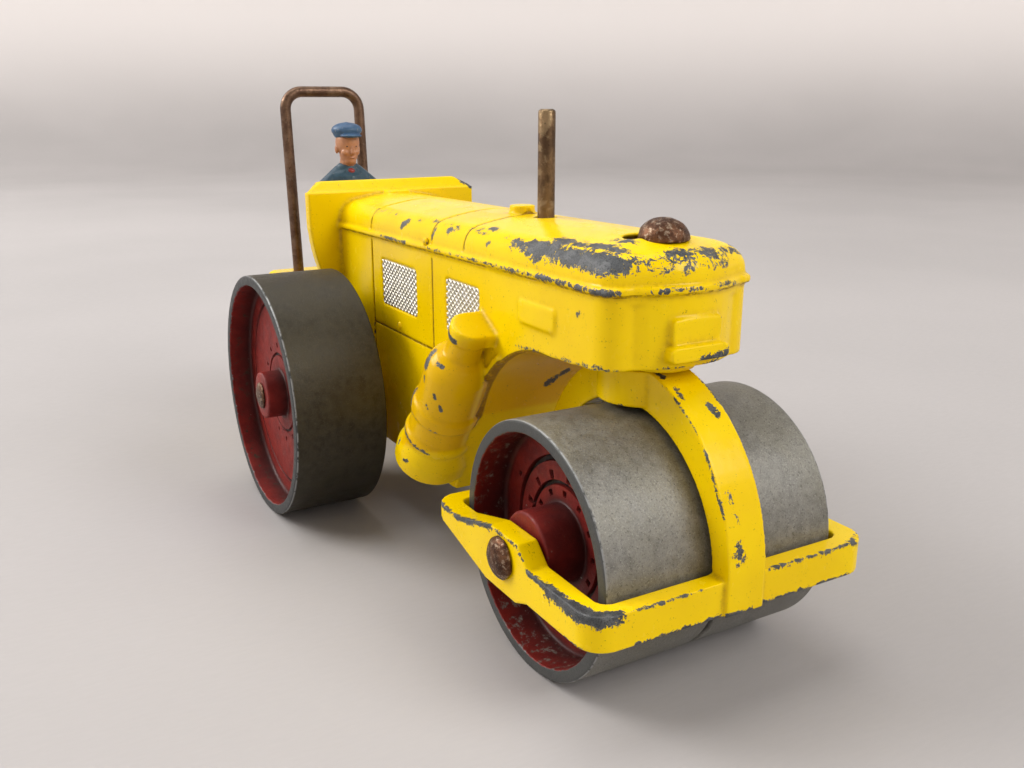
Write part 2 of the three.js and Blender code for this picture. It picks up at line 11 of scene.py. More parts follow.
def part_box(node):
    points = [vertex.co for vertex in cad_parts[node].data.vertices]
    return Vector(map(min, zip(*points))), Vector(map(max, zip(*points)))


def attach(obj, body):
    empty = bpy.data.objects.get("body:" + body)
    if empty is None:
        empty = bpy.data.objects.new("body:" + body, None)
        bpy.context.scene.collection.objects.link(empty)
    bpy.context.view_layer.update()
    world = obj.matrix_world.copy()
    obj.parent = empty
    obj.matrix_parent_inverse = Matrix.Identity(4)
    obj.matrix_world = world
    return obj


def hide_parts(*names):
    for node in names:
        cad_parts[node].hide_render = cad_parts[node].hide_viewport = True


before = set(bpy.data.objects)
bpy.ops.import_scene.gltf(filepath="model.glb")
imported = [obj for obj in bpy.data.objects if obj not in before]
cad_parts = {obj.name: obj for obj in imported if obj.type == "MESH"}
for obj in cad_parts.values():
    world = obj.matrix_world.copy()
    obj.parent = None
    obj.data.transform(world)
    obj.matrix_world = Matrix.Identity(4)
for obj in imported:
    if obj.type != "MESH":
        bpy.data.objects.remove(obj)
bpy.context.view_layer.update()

MM = 0.001

# ---------- Places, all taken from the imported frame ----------

pin_low, pin_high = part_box("kingpin_rivet")
KINGPIN_X = (pin_low.x + pin_high.x) / 2 / MM


def at(x, y, z):
    """A point in millimetres, measured from the ground under the kingpin, as a point of the row frame."""
    return Vector(((x + KINGPIN_X) * MM, y * MM, z * MM))


class Extent:
    """A CAD node's box in millimetres, measured from the ground under the kingpin."""

    def __init__(self, node):
        low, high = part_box(node)
        self.low = low / MM - Vector((KINGPIN_X, 0, 0))
        self.high = high / MM - Vector((KINGPIN_X, 0, 0))
        self.centre = (self.low + self.high) / 2


# ---------- Mesh helpers ----------


def mesh_of(name, verts, faces, sharp=50):
    """A smooth-shaded mesh from points in millimetres round the kingpin, with its faces turned outward.
    An edge that turns by more than sharp degrees stays sharp."""
    mesh = bpy.data.meshes.new(name)
    mesh.from_pydata([at(*v) for v in verts], [], faces)
    work = bmesh.new()
    work.from_mesh(mesh)
    bmesh.ops.remove_doubles(work, verts=work.verts, dist=0.002 * MM)
    bmesh.ops.recalc_face_normals(work, faces=work.faces)
    work.to_mesh(mesh)
    work.free()
    mesh.polygons.foreach_set("use_smooth", [True] * len(mesh.polygons))
    mesh.set_sharp_from_angle(angle=math.radians(sharp))
    mesh.update()
    return mesh


def piece(name, mesh, body, material, replaces=(), weighted=False):
    """Adds a mesh to the scene as a piece that rides on a body and takes its finish from a slot."""
    obj = bpy.data.objects.new(name, mesh)
    bpy.context.scene.collection.objects.link(obj)
    mesh.materials.clear()
    mesh.materials.append(material)
    if weighted:
        obj.modifiers.new("even_shading", "WEIGHTED_NORMAL").keep_sharp = True
    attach(obj, body)
    if replaces:
        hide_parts(*replaces)
    return obj


def filleted(corners, steps=4):
    """Rounds an outline's corners. Each corner is (u, v, radius)."""
    points = []
    count = len(corners)
    for i, (u, v, radius) in enumerate(corners):
        here = Vector((u, v))
        before = Vector(corners[i - 1][:2]) - here
        after = Vector(corners[(i + 1) % count][:2]) - here
        if radius <= 0 or before.length < 1e-6 or after.length < 1e-6:
            points.append((u, v))
            continue
        half = before.angle(after) / 2
        reach = min(radius / math.tan(half), before.length * 0.49, after.length * 0.49)
        start = here + before.normalized() * reach
        end = here + after.normalized() * reach
        for k in range(steps + 1):
            t = k / steps
            point = start * (1 - t) ** 2 + here * 2 * t * (1 - t) + end * t**2
            points.append((point.x, point.y))
    return points


def turned(name, outline, centre, axis="Y", side=1, segments=160, closed=True, shape=None):
    """A turned solid: the outline's points are (radius, distance along the axis).
    shape(radius, angle, along) may return a new (radius, along) for each point."""
    verts, faces = [], []
    rows = len(outline)
    for radius, along in outline:
        for k in range(segments):
            turn = 2 * math.pi * k / segments
            r, h = shape(radius, turn, along) if shape else (radius, along)
            u, v = r * math.cos(turn), r * math.sin(turn)
            if axis == "Y":
                verts.append((centre[0] + u, centre[1] + side * h, centre[2] + v))
            else:
                verts.append((centre[0] + u, centre[1] + v, centre[2] + h))
    for i in range(rows if closed else rows - 1):
        j = (i + 1) % rows
        for k in range(segments):
            m = (k + 1) % segments
            faces.append((i * segments + k, i * segments + m, j * segments + m, j * segments + k))
    return mesh_of(name, verts, faces)


def tube(name, path, radius, segments=28):
    """A round bar along a path, with softened closed ends."""
    count = len(path)
    points = [Vector(p) for p in path]
    verts, faces = [], []
    normal = None
    for i, point in enumerate(points):
        tangent = (points[min(i + 1, count - 1)] - points[max(i - 1, 0)]).normalized()
        if normal is None:
            normal = tangent.orthogonal().normalized()
        normal = (normal - tangent * normal.dot(tangent)).normalized()
        other = tangent.cross(normal)
        for k in range(segments):
            turn = 2 * math.pi * k / segments
            offset = normal * math.cos(turn) + other * math.sin(turn)
            verts.append(point + offset * radius)
    for row in range(0, (count - 1) * segments, segments):
        for k in range(segments):
            m = (k + 1) % segments
            faces.append((row + k, row + m, row + segments + m, row + segments + k))
    faces.append(tuple(range(segments)))
    faces.append(tuple(reversed(range((count - 1) * segments, count * segments))))
    return mesh_of(name, verts, faces)


def evaluated(obj):
    """The mesh that an object's modifiers make. The object itself is removed."""
    graph = bpy.context.evaluated_depsgraph_get()
    mesh = bpy.data.meshes.new_from_object(obj.evaluated_get(graph), depsgraph=graph)
    source = obj.data
    bpy.data.objects.remove(obj)
    if source.users == 0:
        bpy.data.meshes.remove(source)
    return mesh


def skinned(name, mesh, voxel, rounds, keep=1.0):
    """One smooth skin round a mesh of overlapping or sharp-edged solids, with its edges rounded over.
    Below 1, keep is the share of the skin's triangles that stay."""
    obj = bpy.data.objects.new(name, mesh)
    bpy.context.scene.collection.objects.link(obj)
    skin = obj.modifiers.new("skin", "REMESH")
    skin.mode = "VOXEL"
    skin.voxel_size = voxel * MM
    soften = obj.modifiers.new("soften", "SMOOTH")
    soften.factor = 0.5
    soften.iterations = rounds
    if keep < 1:
        thin = obj.modifiers.new("thin", "DECIMATE")
        thin.ratio = keep
    made = evaluated(obj)
    made.polygons.foreach_set("use_smooth", [True] * len(made.polygons))
    made.update()
    return made


def blob(parts):
    """A raw mesh of balls and limbs: each is (from, to, radii at both ends) or (centre, radii)."""
    work = bmesh.new()
    for part in parts:
        if len(part) == 2:
            centre, radii = part
            made = bmesh.ops.create_icosphere(work, subdivisions=3, radius=1)
            size = Matrix.Diagonal((*[r * MM for r in radii], 1))
            bmesh.ops.transform(work, matrix=Matrix.Translation(at(*centre)) @ size, verts=made["verts"])
            continue
        start, end, (first, last) = part
        a, b = at(*start), at(*end)
        balls = 9
        for k in range(balls):
            t = k / (balls - 1)
            radius = (first * (1 - t) + last * t) * MM
            made = bmesh.ops.create_icosphere(work, subdivisions=2, radius=radius)
            bmesh.ops.translate(work, vec=a.lerp(b, t), verts=made["verts"])
    mesh = bpy.data.meshes.new("blob")
    work.to_mesh(mesh)
    work.free()
    return mesh


# ---------- Wear, kept on the vertices ----------

BEND_GAIN = 7


def arrays(mesh):
    """A mesh's points, point normals and edges as arrays."""
    count = len(mesh.vertices)
    places = np.empty(count * 3)
    mesh.vertices.foreach_get("co", places)
    normals = np.empty(count * 3)
    mesh.vertices.foreach_get("normal", normals)
    ends = np.empty(len(mesh.edges) * 2, np.int64)
    mesh.edges.foreach_get("vertices", ends)
    return places.reshape(-1, 3), normals.reshape(-1, 3), ends.reshape(-1, 2)


def store(mesh, name, values):
    """Keeps one number for each point, from 0 to 1, where a material can read it."""
    layer = mesh.attributes.new(name, "FLOAT", "POINT")
    layer.data.foreach_set("value", np.clip(values, 0, 1).astype(np.float32))


def add_wear_and_hollows(mesh, strokes, relax=3):
    """Stores three values on a dense mesh: edge, on convex edges; cavity, in inner corners; and wear,
    near the strokes where the enamel has been knocked off. A stroke is (points, reach, strength), in
    millimetres. relax is how many times the bend of the surface is averaged with its neighbours."""
    places, normals, ends = arrays(mesh)
    count = len(places)
    a, b = ends[:, 0], ends[:, 1]
    degree = np.maximum(np.bincount(a, minlength=count) + np.bincount(b, minlength=count), 1)

    def around(values):
        return (np.bincount(a, values[b], count) + np.bincount(b, values[a], count)) / degree

    pull = np.stack([around(places[:, i]) for i in range(3)], 1) - places
    spacing = np.linalg.norm(places[a] - places[b], axis=1).mean()
    bend = -(pull * normals).sum(1) / spacing
    for _ in range(relax):
        bend = bend * 0.4 + around(bend) * 0.6
    store(mesh, "edge", bend * BEND_GAIN)
    store(mesh, "cavity", -bend * BEND_GAIN)
    wear = np.zeros(count)
    for points, reach, strength in strokes:
        line = [np.array(at(*p)) for p in points]
        for start, end in zip(line, line[1:] or line):
            along = end - start
            t = np.clip((places - start) @ along / max(along @ along, 1e-18), 0, 1)
            away = np.linalg.norm(places - start - t[:, None] * along, axis=1) / (reach * MM)
            fall = np.clip(1 - away, 0, 1)
            wear = np.maximum(wear, strength * fall * fall * (3 - 2 * fall))
    store(mesh, "wear", wear)


# ---------- Node materials ----------

# Where the casting's features lie, in millimetres from the ground under the kingpin. A pair is the
# start and the end of a soft step.
LID_SEAMS = (-52.9, -33.5, -24.9)
LID_EDGE = (39.0, 39.3)
SIDE_PLATE = (7.6, 7.9)
PANEL_HEIGHTS = (10, 37.0)
SILL_HEIGHT = 25.6
BEAD_RAKE = 0.016
UNDER_BEAD = 38.36
COWL_FACE = (-64.2, -63.8)
ARCH_CENTRE = (-7.5, 15.3)
ARCH_RADIUS = 15.5
ARCH_SIDE = (9.1, 9.3)
SLOT_CENTRE = (-1.7, -1.5)
SLOT_EDGE = (1.62, 1.72)
SLOT_TOP = 43.05
CANISTER_TOP = (-19.2, -10.9, 31.2)
CANISTER_LEAN = math.radians(31)
CANISTER_REAR = (-30, -29)
CANISTER_SIDE = (-10.1, -9.5)
CANISTER_HEIGHTS = ((15.5, 16.1), (29.5, 31.5))
SEAM_WIDTH = (0.09, 0.19)


class Nodes:
    """Short calls that build one material's node tree."""

    def __init__(self, name):
        self.material = bpy.data.materials.new(name)
        self.material.use_nodes = True
        self.tree = self.material.node_tree
        self.tree.nodes.clear()
        self.shader = self.add("ShaderNodeBsdfPrincipled")
        output = self.add("ShaderNodeOutputMaterial")
        self.tree.links.new(self.shader.outputs["BSDF"], output.inputs["Surface"])

    def add(self, kind, **settings):
        node = self.tree.nodes.new(kind)
        for key, value in settings.items():
            setattr(node, key, value)
        return node

    def feed(self, socket, value):
        if isinstance(value, bpy.types.NodeSocket):
            self.tree.links.new(value, socket)
        elif isinstance(value, (tuple, list)) and len(value) == 3 and len(socket.default_value) == 4:
            socket.default_value = (*value, 1)
        else:
            socket.default_value = value

    def place(self, stretch=(1, 1, 1)):
        """The point on the resting object, in millimetres from the ground under the kingpin."""
        coordinates = self.add("ShaderNodeTexCoord")
        mapping = self.add("ShaderNodeMapping")
        self.tree.links.new(coordinates.outputs["Object"], mapping.inputs["Vector"])
        mapping.inputs["Scale"].default_value = [s / MM for s in stretch]
        mapping.inputs["Location"].default_value = [-KINGPIN_X * stretch[0], 0, 0]
        return mapping.outputs["Vector"]

    def noise(self, vector, scale, detail=3, rough=0.55, distortion=0.0):
        node = self.add("ShaderNodeTexNoise")
        self.feed(node.inputs["Vector"], vector)
        node.inputs["Scale"].default_value = scale
        node.inputs["Detail"].default_value = detail
        node.inputs["Roughness"].default_value = rough
        node.inputs["Distortion"].default_value = distortion
        return node.outputs["Fac"]

    def cells(self, vector, scale):
        """The distance to the nearest of many scattered points, in cells."""
        node = self.add("ShaderNodeTexVoronoi", feature="F1")
        self.feed(node.inputs["Vector"], vector)
        node.inputs["Scale"].default_value = scale
        return node.outputs["Distance"]

    def attribute(self, name):
        return self.add("ShaderNodeAttribute", attribute_name=name).outputs["Fac"]

    def math(self, operation, a, b=0.0):
        node = self.add("ShaderNodeMath", operation=operation)
        self.feed(node.inputs[0], a)
        self.feed(node.inputs[1], b)
        return node.outputs["Value"]

    def plus(self, a, b):
        return self.math("ADD", a, b)

    def minus(self, a, b):
        return self.math("SUBTRACT", a, b)

    def times(self, a, b):
        return self.math("MULTIPLY", a, b)

    def most(self, a, b):
        return self.math("MAXIMUM", a, b)

    def size(self, a):
        return self.math("ABSOLUTE", a)

    def step(self, value, low, high, from_value=0.0, to_value=1.0):
        """A smooth step from from_value to to_value as value goes from low to high."""
        node = self.add("ShaderNodeMapRange", interpolation_type="SMOOTHSTEP")
        for key, v in (("Value", value), ("From Min", low), ("From Max", high),
                       ("To Min", from_value), ("To Max", to_value)):
            self.feed(node.inputs[key], v)
        return node.outputs["Result"]

    def mix(self, factor, a, b):
        """Colour a, turning into colour b as factor goes from 0 to 1."""
        node = self.add("ShaderNodeMix", data_type="RGBA")
        self.feed(node.inputs["Factor"], factor)
        self.feed(node.inputs[6], a)
        self.feed(node.inputs[7], b)
        return node.outputs[2]

    def split(self, vector):
        node = self.add("ShaderNodeSeparateXYZ")
        self.feed(node.inputs["Vector"], vector)
        return node.outputs["X"], node.outputs["Y"], node.outputs["Z"]

    def radius(self, a, b, centre):
        """The distance of the point (a, b) from a centre."""
        u = self.minus(a, centre[0])
        v = self.minus(b, centre[1])
        return self.math("SQRT", self.plus(self.times(u, u), self.times(v, v)))

    def bump(self, height, distance, strength=1.0, normal=None):
        """Relief: height runs from 0 to 1 over distance millimetres."""
        node = self.add("ShaderNodeBump")
        node.inputs["Distance"].default_value = distance * MM
        node.inputs["Strength"].default_value = strength
        self.feed(node.inputs["Height"], height)
        if normal is not None:
            self.feed(node.inputs["Normal"], normal)
        return node.outputs["Normal"]

    def set(self, **sockets):
        """Feeds the shader's sockets and gives back the finished material."""
        for key, value in sockets.items():
            self.feed(self.shader.inputs[key.replace("_", " ")], value)
        return self.material


def seam_lines(n, p):
    """1 along the grooves between the cast panels, where old dirt has settled."""
    x, y, z = n.split(p)
    wobble = n.times(n.minus(n.noise(p, 0.8, 2), 0.5), 0.12)
    x = n.plus(x, wobble)
    z = n.plus(z, wobble)

    def line(value, middle):
        return n.step(n.size(n.minus(value, middle)), *SEAM_WIDTH, 1, 0)

    def between(value, low, high):
        return n.times(n.step(value, low - 0.1, low + 0.1), n.step(value, high - 0.1, high + 0.1, 1, 0))

    rear, middle, front = LID_SEAMS
    upright = n.most(line(x, rear), line(x, middle))
    lid = n.times(n.most(upright, line(x, front)), n.step(z, *LID_EDGE))
    panels = n.times(upright, between(z, *PANEL_HEIGHTS))
    sill = n.times(line(z, SILL_HEIGHT), between(x, rear, middle))
    arch = n.times(line(n.radius(x, z, ARCH_CENTRE), ARCH_RADIUS), n.step(x, -4, -3, 1, 0))
    arch = n.times(arch, n.step(z, 16.5, 17.5))
    arch = n.times(arch, n.step(n.size(y), *ARCH_SIDE, 1, 0))
    sides = n.times(n.most(n.most(panels, sill), arch), n.step(n.size(y), *SIDE_PLATE))
    under_bead = line(n.minus(z, n.times(x, BEAD_RAKE)), UNDER_BEAD)
    under_bead = n.times(under_bead, n.step(x, *COWL_FACE))
    under_bead = n.times(under_bead, n.step(n.noise(p, 0.9, 4, 0.7), 0.42, 0.58, 0.1, 0.9))
    return n.most(under_bead, n.most(lid, sides))


def kingpin_slot(n, p):
    """1 inside the cast recess that shows beside the kingpin's head."""
    x, y, z = n.split(p)
    inside = n.step(n.radius(x, y, SLOT_CENTRE), *SLOT_EDGE, 1, 0)
    return n.times(inside, n.step(z, SLOT_TOP - 0.5, SLOT_TOP - 0.15, 1, 0))


def under_arch(n, p):
    """1 on the arch's ceiling, where painted shade turns the paint a deeper orange."""
    x, y, z = n.split(p)
    reach = n.radius(x, z, ARCH_CENTRE)
    ceiling = n.times(n.step(reach, ARCH_RADIUS, ARCH_RADIUS + 0.15, 1, 0),
                      n.step(reach, ARCH_RADIUS - 0.7, ARCH_RADIUS - 0.5))
    ceiling = n.times(ceiling, n.step(x, -10, -7, 1, 0))
    return n.times(ceiling, n.step(n.size(y), *ARCH_SIDE, 1, 0))


def on_canister_side(n, p):
    """1 on the canister's side, where painted shade makes the paint a deeper orange."""
    x, y, z = n.split(p)
    foot, top = CANISTER_HEIGHTS
    place = n.times(n.step(y, *CANISTER_SIDE, 1, 0), n.step(z, *top, 1, 0))
    return n.times(place, n.times(n.step(x, *CANISTER_REAR), n.step(z, *foot)))


def enamel():
    """Glossy yellow enamel on zinc: worn through along knocked edges, speckled and dirty in corners."""
    n = Nodes("yellow_enamel")
    p = n.place()
    edge = n.attribute("edge")
    wear = n.attribute("wear")
    cavity = n.attribute("cavity")
    jagged = n.noise(p, 1.7, 4, 0.68, 0.8)
    ragged = n.noise(p, 5.2, 3, 0.7)
    grain = n.noise(p, 7, 3, 0.6)
    blotch = n.noise(p, 0.9, 4, 0.6)

    # The zinc shows where the noise and the knocks together pass 1.
    field = n.plus(n.times(n.noise(p, 0.42, 5, 0.62, 0.4), 0.60), n.times(jagged, 0.62))
    field = n.plus(field, n.times(ragged, 0.32))
    bareness = n.plus(field, n.plus(n.times(wear, 0.42), n.times(edge, 0.11)))
    bare = n.step(bareness, 1.008, 1.018)
    rim = n.step(bareness, 0.980, 1.012)
    zinc = n.mix(n.step(blotch, 0.38, 0.62), (0.085, 0.090, 0.094), (0.150, 0.155, 0.158))
    zinc = n.mix(n.step(grain, 0.48, 0.66, 0, 0.75), zinc, (0.04, 0.042, 0.044))

    # The paint: two yellows, thin brown patches, painted shade under the arch, on the canister, in inner
    # corners and in the kingpin's recess, dirt in the seams, chip rims and specks.
    paint = n.mix(n.step(n.noise(p, 0.08, 3), 0.35, 0.65), (0.84, 0.565, 0.0), (0.90, 0.63, 0.0))
    paint = n.mix(n.step(n.noise(p, 0.6, 5, 0.7), 0.58, 0.8, 0, 0.35), paint, (0.62, 0.36, 0.005))
    # Painted shade: the arch's ceiling turned a deeper orange.
    paint = n.mix(n.times(under_arch(n, p), 0.8), paint, (0.80, 0.44, 0.0))
    # Painted shade: the canister's side made a deeper orange.
    paint = n.mix(n.times(on_canister_side(n, p), 0.8), paint, (0.70, 0.40, 0.0))
    # Painted shade: inner corners darkened to a deep orange-brown, broken up by noise.
    paint = n.mix(n.times(cavity, n.step(jagged, 0.35, 0.6, 0.35, 1.0)), paint, (0.30, 0.13, 0.008))
    paint = n.mix(n.times(rim, n.step(jagged, 0.5, 0.62, 0, 0.6)), paint, (0.72, 0.25, 0.01))
    specks = n.step(n.plus(ragged, n.times(blotch, 0.35)), 0.850, 0.872)
    paint = n.mix(n.times(specks, 0.75), paint, (0.07, 0.035, 0.01))
    slot = kingpin_slot(n, p)
    # Dirt in the seam grooves, and painted shade in the kingpin's recess.
    seams = n.most(seam_lines(n, p), slot)
    grime_and_slot_shade = n.times(seams, n.step(jagged, 0.30, 0.55, 0.45, 0.85))
    paint = n.mix(grime_and_slot_shade, paint, (0.20, 0.095, 0.008))
    # Painted shade: the kingpin's recess darkened almost to black.
    paint = n.mix(n.times(slot, 0.85), paint, (0.045, 0.022, 0.006))

    # The relief: waves and orange peel in the paint, a step down at each chip, and the metal's grain.
    skin = n.bump(n.noise(p, 0.5, 2), 0.10, 0.25)
    skin = n.bump(n.noise(p, 4, 3), 0.02, 0.3, skin)
    skin = n.bump(n.minus(1.0, bare), 0.12, 0.9, skin)
    skin = n.bump(n.minus(1.0, seams), 0.15, 0.9, skin)
    skin = n.bump(n.times(grain, bare), 0.12, 0.8, skin)
    gloss = n.step(n.noise(p, 0.5, 4), 0.3, 0.7, 0.16, 0.28)
    rough = n.plus(gloss, n.times(bare, n.step(blotch, 0.3, 0.7, 0.12, 0.3)))
    return n.set(Base_Color=n.mix(bare, paint, zinc), Roughness=rough,
                 Metallic=n.times(bare, 0.55), Normal=skin, Specular_IOR_Level=0.17)


def wheel_finish(name, node, rim_inner, face, tread_tones, red_tones):
    """Bare zinc outside, with red enamel inside the rim, on the web and on the hub."""
    n = Nodes(name)
    p = n.place()
    x, y, z = n.split(p)
    axle_line = Extent(node).centre
    ragged = n.noise(p, 1.1, 5, 0.65)
    away = n.plus(n.radius(x, z, (axle_line.x, axle_line.z)), n.times(ragged, 0.5))
    inside = n.step(away, rim_inner + 0.27, rim_inner + 0.35, 1, 0)
    cavity = n.attribute("cavity")
    soft = n.noise(p, 0.16, 4, 0.6)
    mottle = n.noise(p, 0.8, 6, 0.7)
    grain = n.noise(p, 4.5, 4, 0.7)
    dark, light, stain, bright = tread_tones
    zinc = n.mix(n.step(mottle, 0.3, 0.7), dark, light)
    zinc = n.mix(n.step(soft, 0.35, 0.7, 0, 0.55), zinc, stain)
    zinc = n.mix(n.step(grain, 0.52, 0.68, 0, 0.6), zinc, (0.045, 0.043, 0.036))
    zinc = n.mix(n.step(n.noise(p, 6.5, 3, 0.7), 0.54, 0.70, 0, 0.5), zinc, bright)
    flecks = n.times(n.step(n.cells(p, 1.5), 0.08, 0.13, 1, 0), n.step(soft, 0.45, 0.6))
    zinc = n.mix(n.times(flecks, 0.35), zinc, bright)
    level = n.size(y)
    rim = n.times(n.step(level, face - 0.35, face - 0.1), n.step(n.noise(p, 1.3, 4), 0.35, 0.5))
    rim_face = n.step(level, face - 0.30, face - 0.10)
    zinc = n.mix(n.times(rim_face, 0.8), zinc, (0.055, 0.060, 0.063))
    # Painted highlight: a thin pale line along the tread's outer edge.
    rim_edge_highlight = n.times(rim, n.step(level, face - 0.12, face - 0.05, 1, 0))
    zinc = n.mix(n.times(rim_edge_highlight, 0.7), zinc, (0.40, 0.41, 0.41))
    red = n.mix(n.step(n.noise(p, 0.5, 5, 0.65), 0.32, 0.68), red_tones[0], red_tones[1])
    red = n.mix(n.step(n.noise(p, 2.2, 5, 0.7), 0.62, 0.72, 0, 0.7), red, (0.17, 0.10, 0.06))
    # Painted shade: the web's pits, grooves and inner corners darkened almost to black.
    red = n.mix(cavity, red, (0.012, 0.004, 0.004))
    chips = n.times(n.step(n.cells(p, 1.0), 0.07, 0.12, 1, 0), n.step(soft, 0.52, 0.6))
    red = n.mix(n.times(chips, 0.55), red, (0.30, 0.27, 0.24))
    colour = n.mix(inside, zinc, red)
    surface = n.bump(grain, 0.05, 0.5)
    surface = n.bump(mottle, 0.10, 0.5, surface)
    bare = n.minus(1.0, inside)
    rough = n.plus(n.step(mottle, 0.3, 0.7, 0.40, 0.58), n.times(inside, 0.02))
    return n.set(Base_Color=colour, Roughness=rough, Metallic=n.times(bare, 0.5),
                 Normal=surface, Specular_IOR_Level=0.3)


def oxidised(name, dark, warm, bright, scale=1.0, polish=0.5):
    """Old plated steel or brass: brown oxide, darker pits and rubbed bright patches."""
    n = Nodes(name)
    p = n.place()
    patches = n.noise(p, 0.55 * scale, 5, 0.65, 0.3)
    pits = n.noise(p, 3.2 * scale, 4, 0.7)
    colour = n.mix(n.step(patches, 0.35, 0.62), dark, warm)
    rubbed = n.times(n.step(n.noise(p, 1.1 * scale, 4, 0.6, 0.5), 0.52, 0.64), polish)
    colour = n.mix(rubbed, colour, bright)
    colour = n.mix(n.step(pits, 0.60, 0.70, 0, 0.8), colour, (0.02, 0.013, 0.01))
    surface = n.bump(pits, 0.06, 0.7)
    surface = n.bump(patches, 0.18, 0.6, surface)
    rough = n.minus(n.step(pits, 0.4, 0.7, 0.34, 0.6), n.times(rubbed, 0.1))
    return n.set(Base_Color=colour, Roughness=rough, Metallic=0.85, Normal=surface)


def hand_paint(name, main, worn, chip=(0.25, 0.24, 0.22), gloss=0.4, wear=0.64):
    """Hand-brushed enamel on the small driver: uneven tone, thin spots and a few chips."""
    n = Nodes(name)
    p = n.place()
    colour = n.mix(n.step(n.noise(p, 0.7, 4), 0.3, 0.7), main, worn)
    rubbed = n.step(n.noise(p, 1.6, 5, 0.7), wear, wear + 0.02)
    colour = n.mix(n.times(rubbed, 0.8), colour, chip)
    surface = n.bump(n.noise(p, 2.5, 3), 0.05, 0.5)
    rough = n.step(n.noise(p, 0.9, 3), 0.3, 0.7, gloss - 0.08, gloss + 0.12)
    return n.set(Base_Color=colour, Roughness=rough, Normal=surface)


def silver_mesh():
    """Silver paint brushed over the raised diamonds, with yellow left in their hollows."""
    n = Nodes("silver_mesh_paint")
    p = n.place()
    low = n.attribute("cavity")
    colour = n.mix(n.step(n.noise(p, 0.9, 4), 0.3, 0.7), (0.60, 0.58, 0.50), (0.78, 0.77, 0.74))
    colour = n.mix(n.times(low, 0.8), colour, (0.40, 0.35, 0.19))
    colour = n.mix(n.step(n.noise(p, 2.4, 4, 0.7), 0.60, 0.68, 0, 0.7), colour, (0.12, 0.11, 0.10))
    surface = n.bump(n.noise(p, 6, 2), 0.04, 0.5)
    rough = n.step(low, 0, 1, 0.30, 0.55)
    return n.set(Base_Color=colour, Roughness=rough, Metallic=0.45, Normal=surface)


def paper():
    """Matt backdrop paper: pale grey on the floor, with painted light making it paler up the wall."""
    n = Nodes("pale_paper")
    p = n.place()
    tone = n.noise(p, 0.006, 3)
    weave = n.noise(n.place((6, 1.2, 1)), 0.35, 2)
    _, _, height = n.split(p)
    low_tone = n.mix(n.step(tone, 0.3, 0.7), (0.385, 0.370, 0.368), (0.425, 0.408, 0.406))
    # Painted light: the paper brightens from the floor up the wall.
    colour = n.mix(n.step(height, 0, 160), low_tone, (0.82, 0.785, 0.77))
    rough = n.step(weave, 0.3, 0.7, 0.75, 0.9)
    return n.set(Base_Color=colour, Roughness=rough, Normal=n.bump(weave, 0.05, 0.3))


# ---------- The castings ----------

YELLOW = enamel()

# Each line is a stroke of knocked-off paint: its points, its reach and its strength.
BONNET_WEAR = [
    ([(-11, -8.2, 41.4), (-5.5, -8.2, 41.3), (0, -8.0, 41.3), (3.0, -7.0, 41.4)], 2.5, 0.96),
    ([(-9, -6.8, 42.4), (-3, -6.4, 42.5), (1.5, -6.0, 42.4)], 2.2, 0.78),
    ([(-3, -4.2, 42.9), (1.5, -3.6, 42.8)], 1.4, 0.62),
    ([(3.2, -6.5, 42.0), (4.2, -4, 42.2), (4.6, 0, 42.3), (4.0, 4, 42.2)], 2.9, 0.74),
    ([(4.4, -5, 41.0), (5.2, 0, 41.0), (4.4, 5, 41.0)], 1.6, 0.55),
    ([(3.6, 4.5, 42.2), (2.4, 7.2, 42.0), (-2, 7.9, 42.1)], 2.2, 0.70),
    ([(-14.8, -8.0, 41.5), (-12.2, -8.3, 41.3)], 1.7, 0.95),
    ([(-19.6, -8.5, 40.4), (-19.0, -8.5, 41.1)], 0.9, 0.92),
    ([(-21.6, -6.8, 42.1), (-20.4, -7.0, 42.0)], 1.1, 0.88),
    ([(-24.9, -6.6, 42.1), (-24.3, -7.4, 41.8)], 0.9, 0.80),
    ([(-29.6, -8.3, 41.0), (-27.9, -8.0, 41.5)], 1.3, 0.95),
    ([(-33.4, -8.6, 39.8), (-32.7, -8.4, 40.8)], 0.9, 0.90),
    ([(-38.9, -8.0, 41.1), (-37.9, -7.9, 41.3)], 1.0, 0.85),
    ([(-42.5, -8.4, 40.1), (-41.2, -8.2, 40.8)], 1.1, 0.90),
    ([(-56, -7.6, 41.2), (-16, -7.8, 41.8)], 1.5, 0.44),
    ([(-56, 7.9, 41.2), (-6, 8.1, 41.8)], 1.6, 0.6),
    ([(-48.5, -9, 38.0), (-40.5, -9, 38.1)], 0.6, 0.72),
    ([(-38, -9, 38.2), (-19, -9, 38.5)], 0.5, 0.40),
    ([(-19, -9, 38.5), (-8, -9, 38.7)], 0.7, 0.56),
    ([(-8, -9, 38.7), (2, -9, 38.8), (4.2, -7.6, 38.9)], 0.8, 0.66),
    ([(4.2, -7.6, 38.9), (5.8, 0, 38.9), (4.2, 7.6, 38.9)], 0.7, 0.54),
    ([(-62, 9, 37.8), (2, 9, 38.8)], 0.6, 0.62),
    ([(2.0, -8.4, 31.6), (4.2, -6.6, 31.6), (5.4, 0, 31.6), (4.4, 6.4, 31.6)], 0.5, 0.56),
    ([(6.2, 0.2, 32.4), (6.2, 3.4, 32.7)], 1.1, 0.84),
    ([(5.3, 5.2, 34.4), (5.2, 5.6, 34.9)], 0.7, 0.85),
    ([(-1.5, -8.6, 36.0), (-1.4, -8.6, 36.4)], 0.6, 0.95),
    ([(-16.5, -8.7, 30.2), (-10, -8.7, 30.9), (2, -8.6, 31.6)], 0.5, 0.52),
    ([(-20.6, 0.2, 23.4), (-19.6, 2.2, 24.8)], 1.3, 0.95),
    ([(-53, -8.6, 26), (-53, -8.6, 22)], 0.7, 0.6),
]


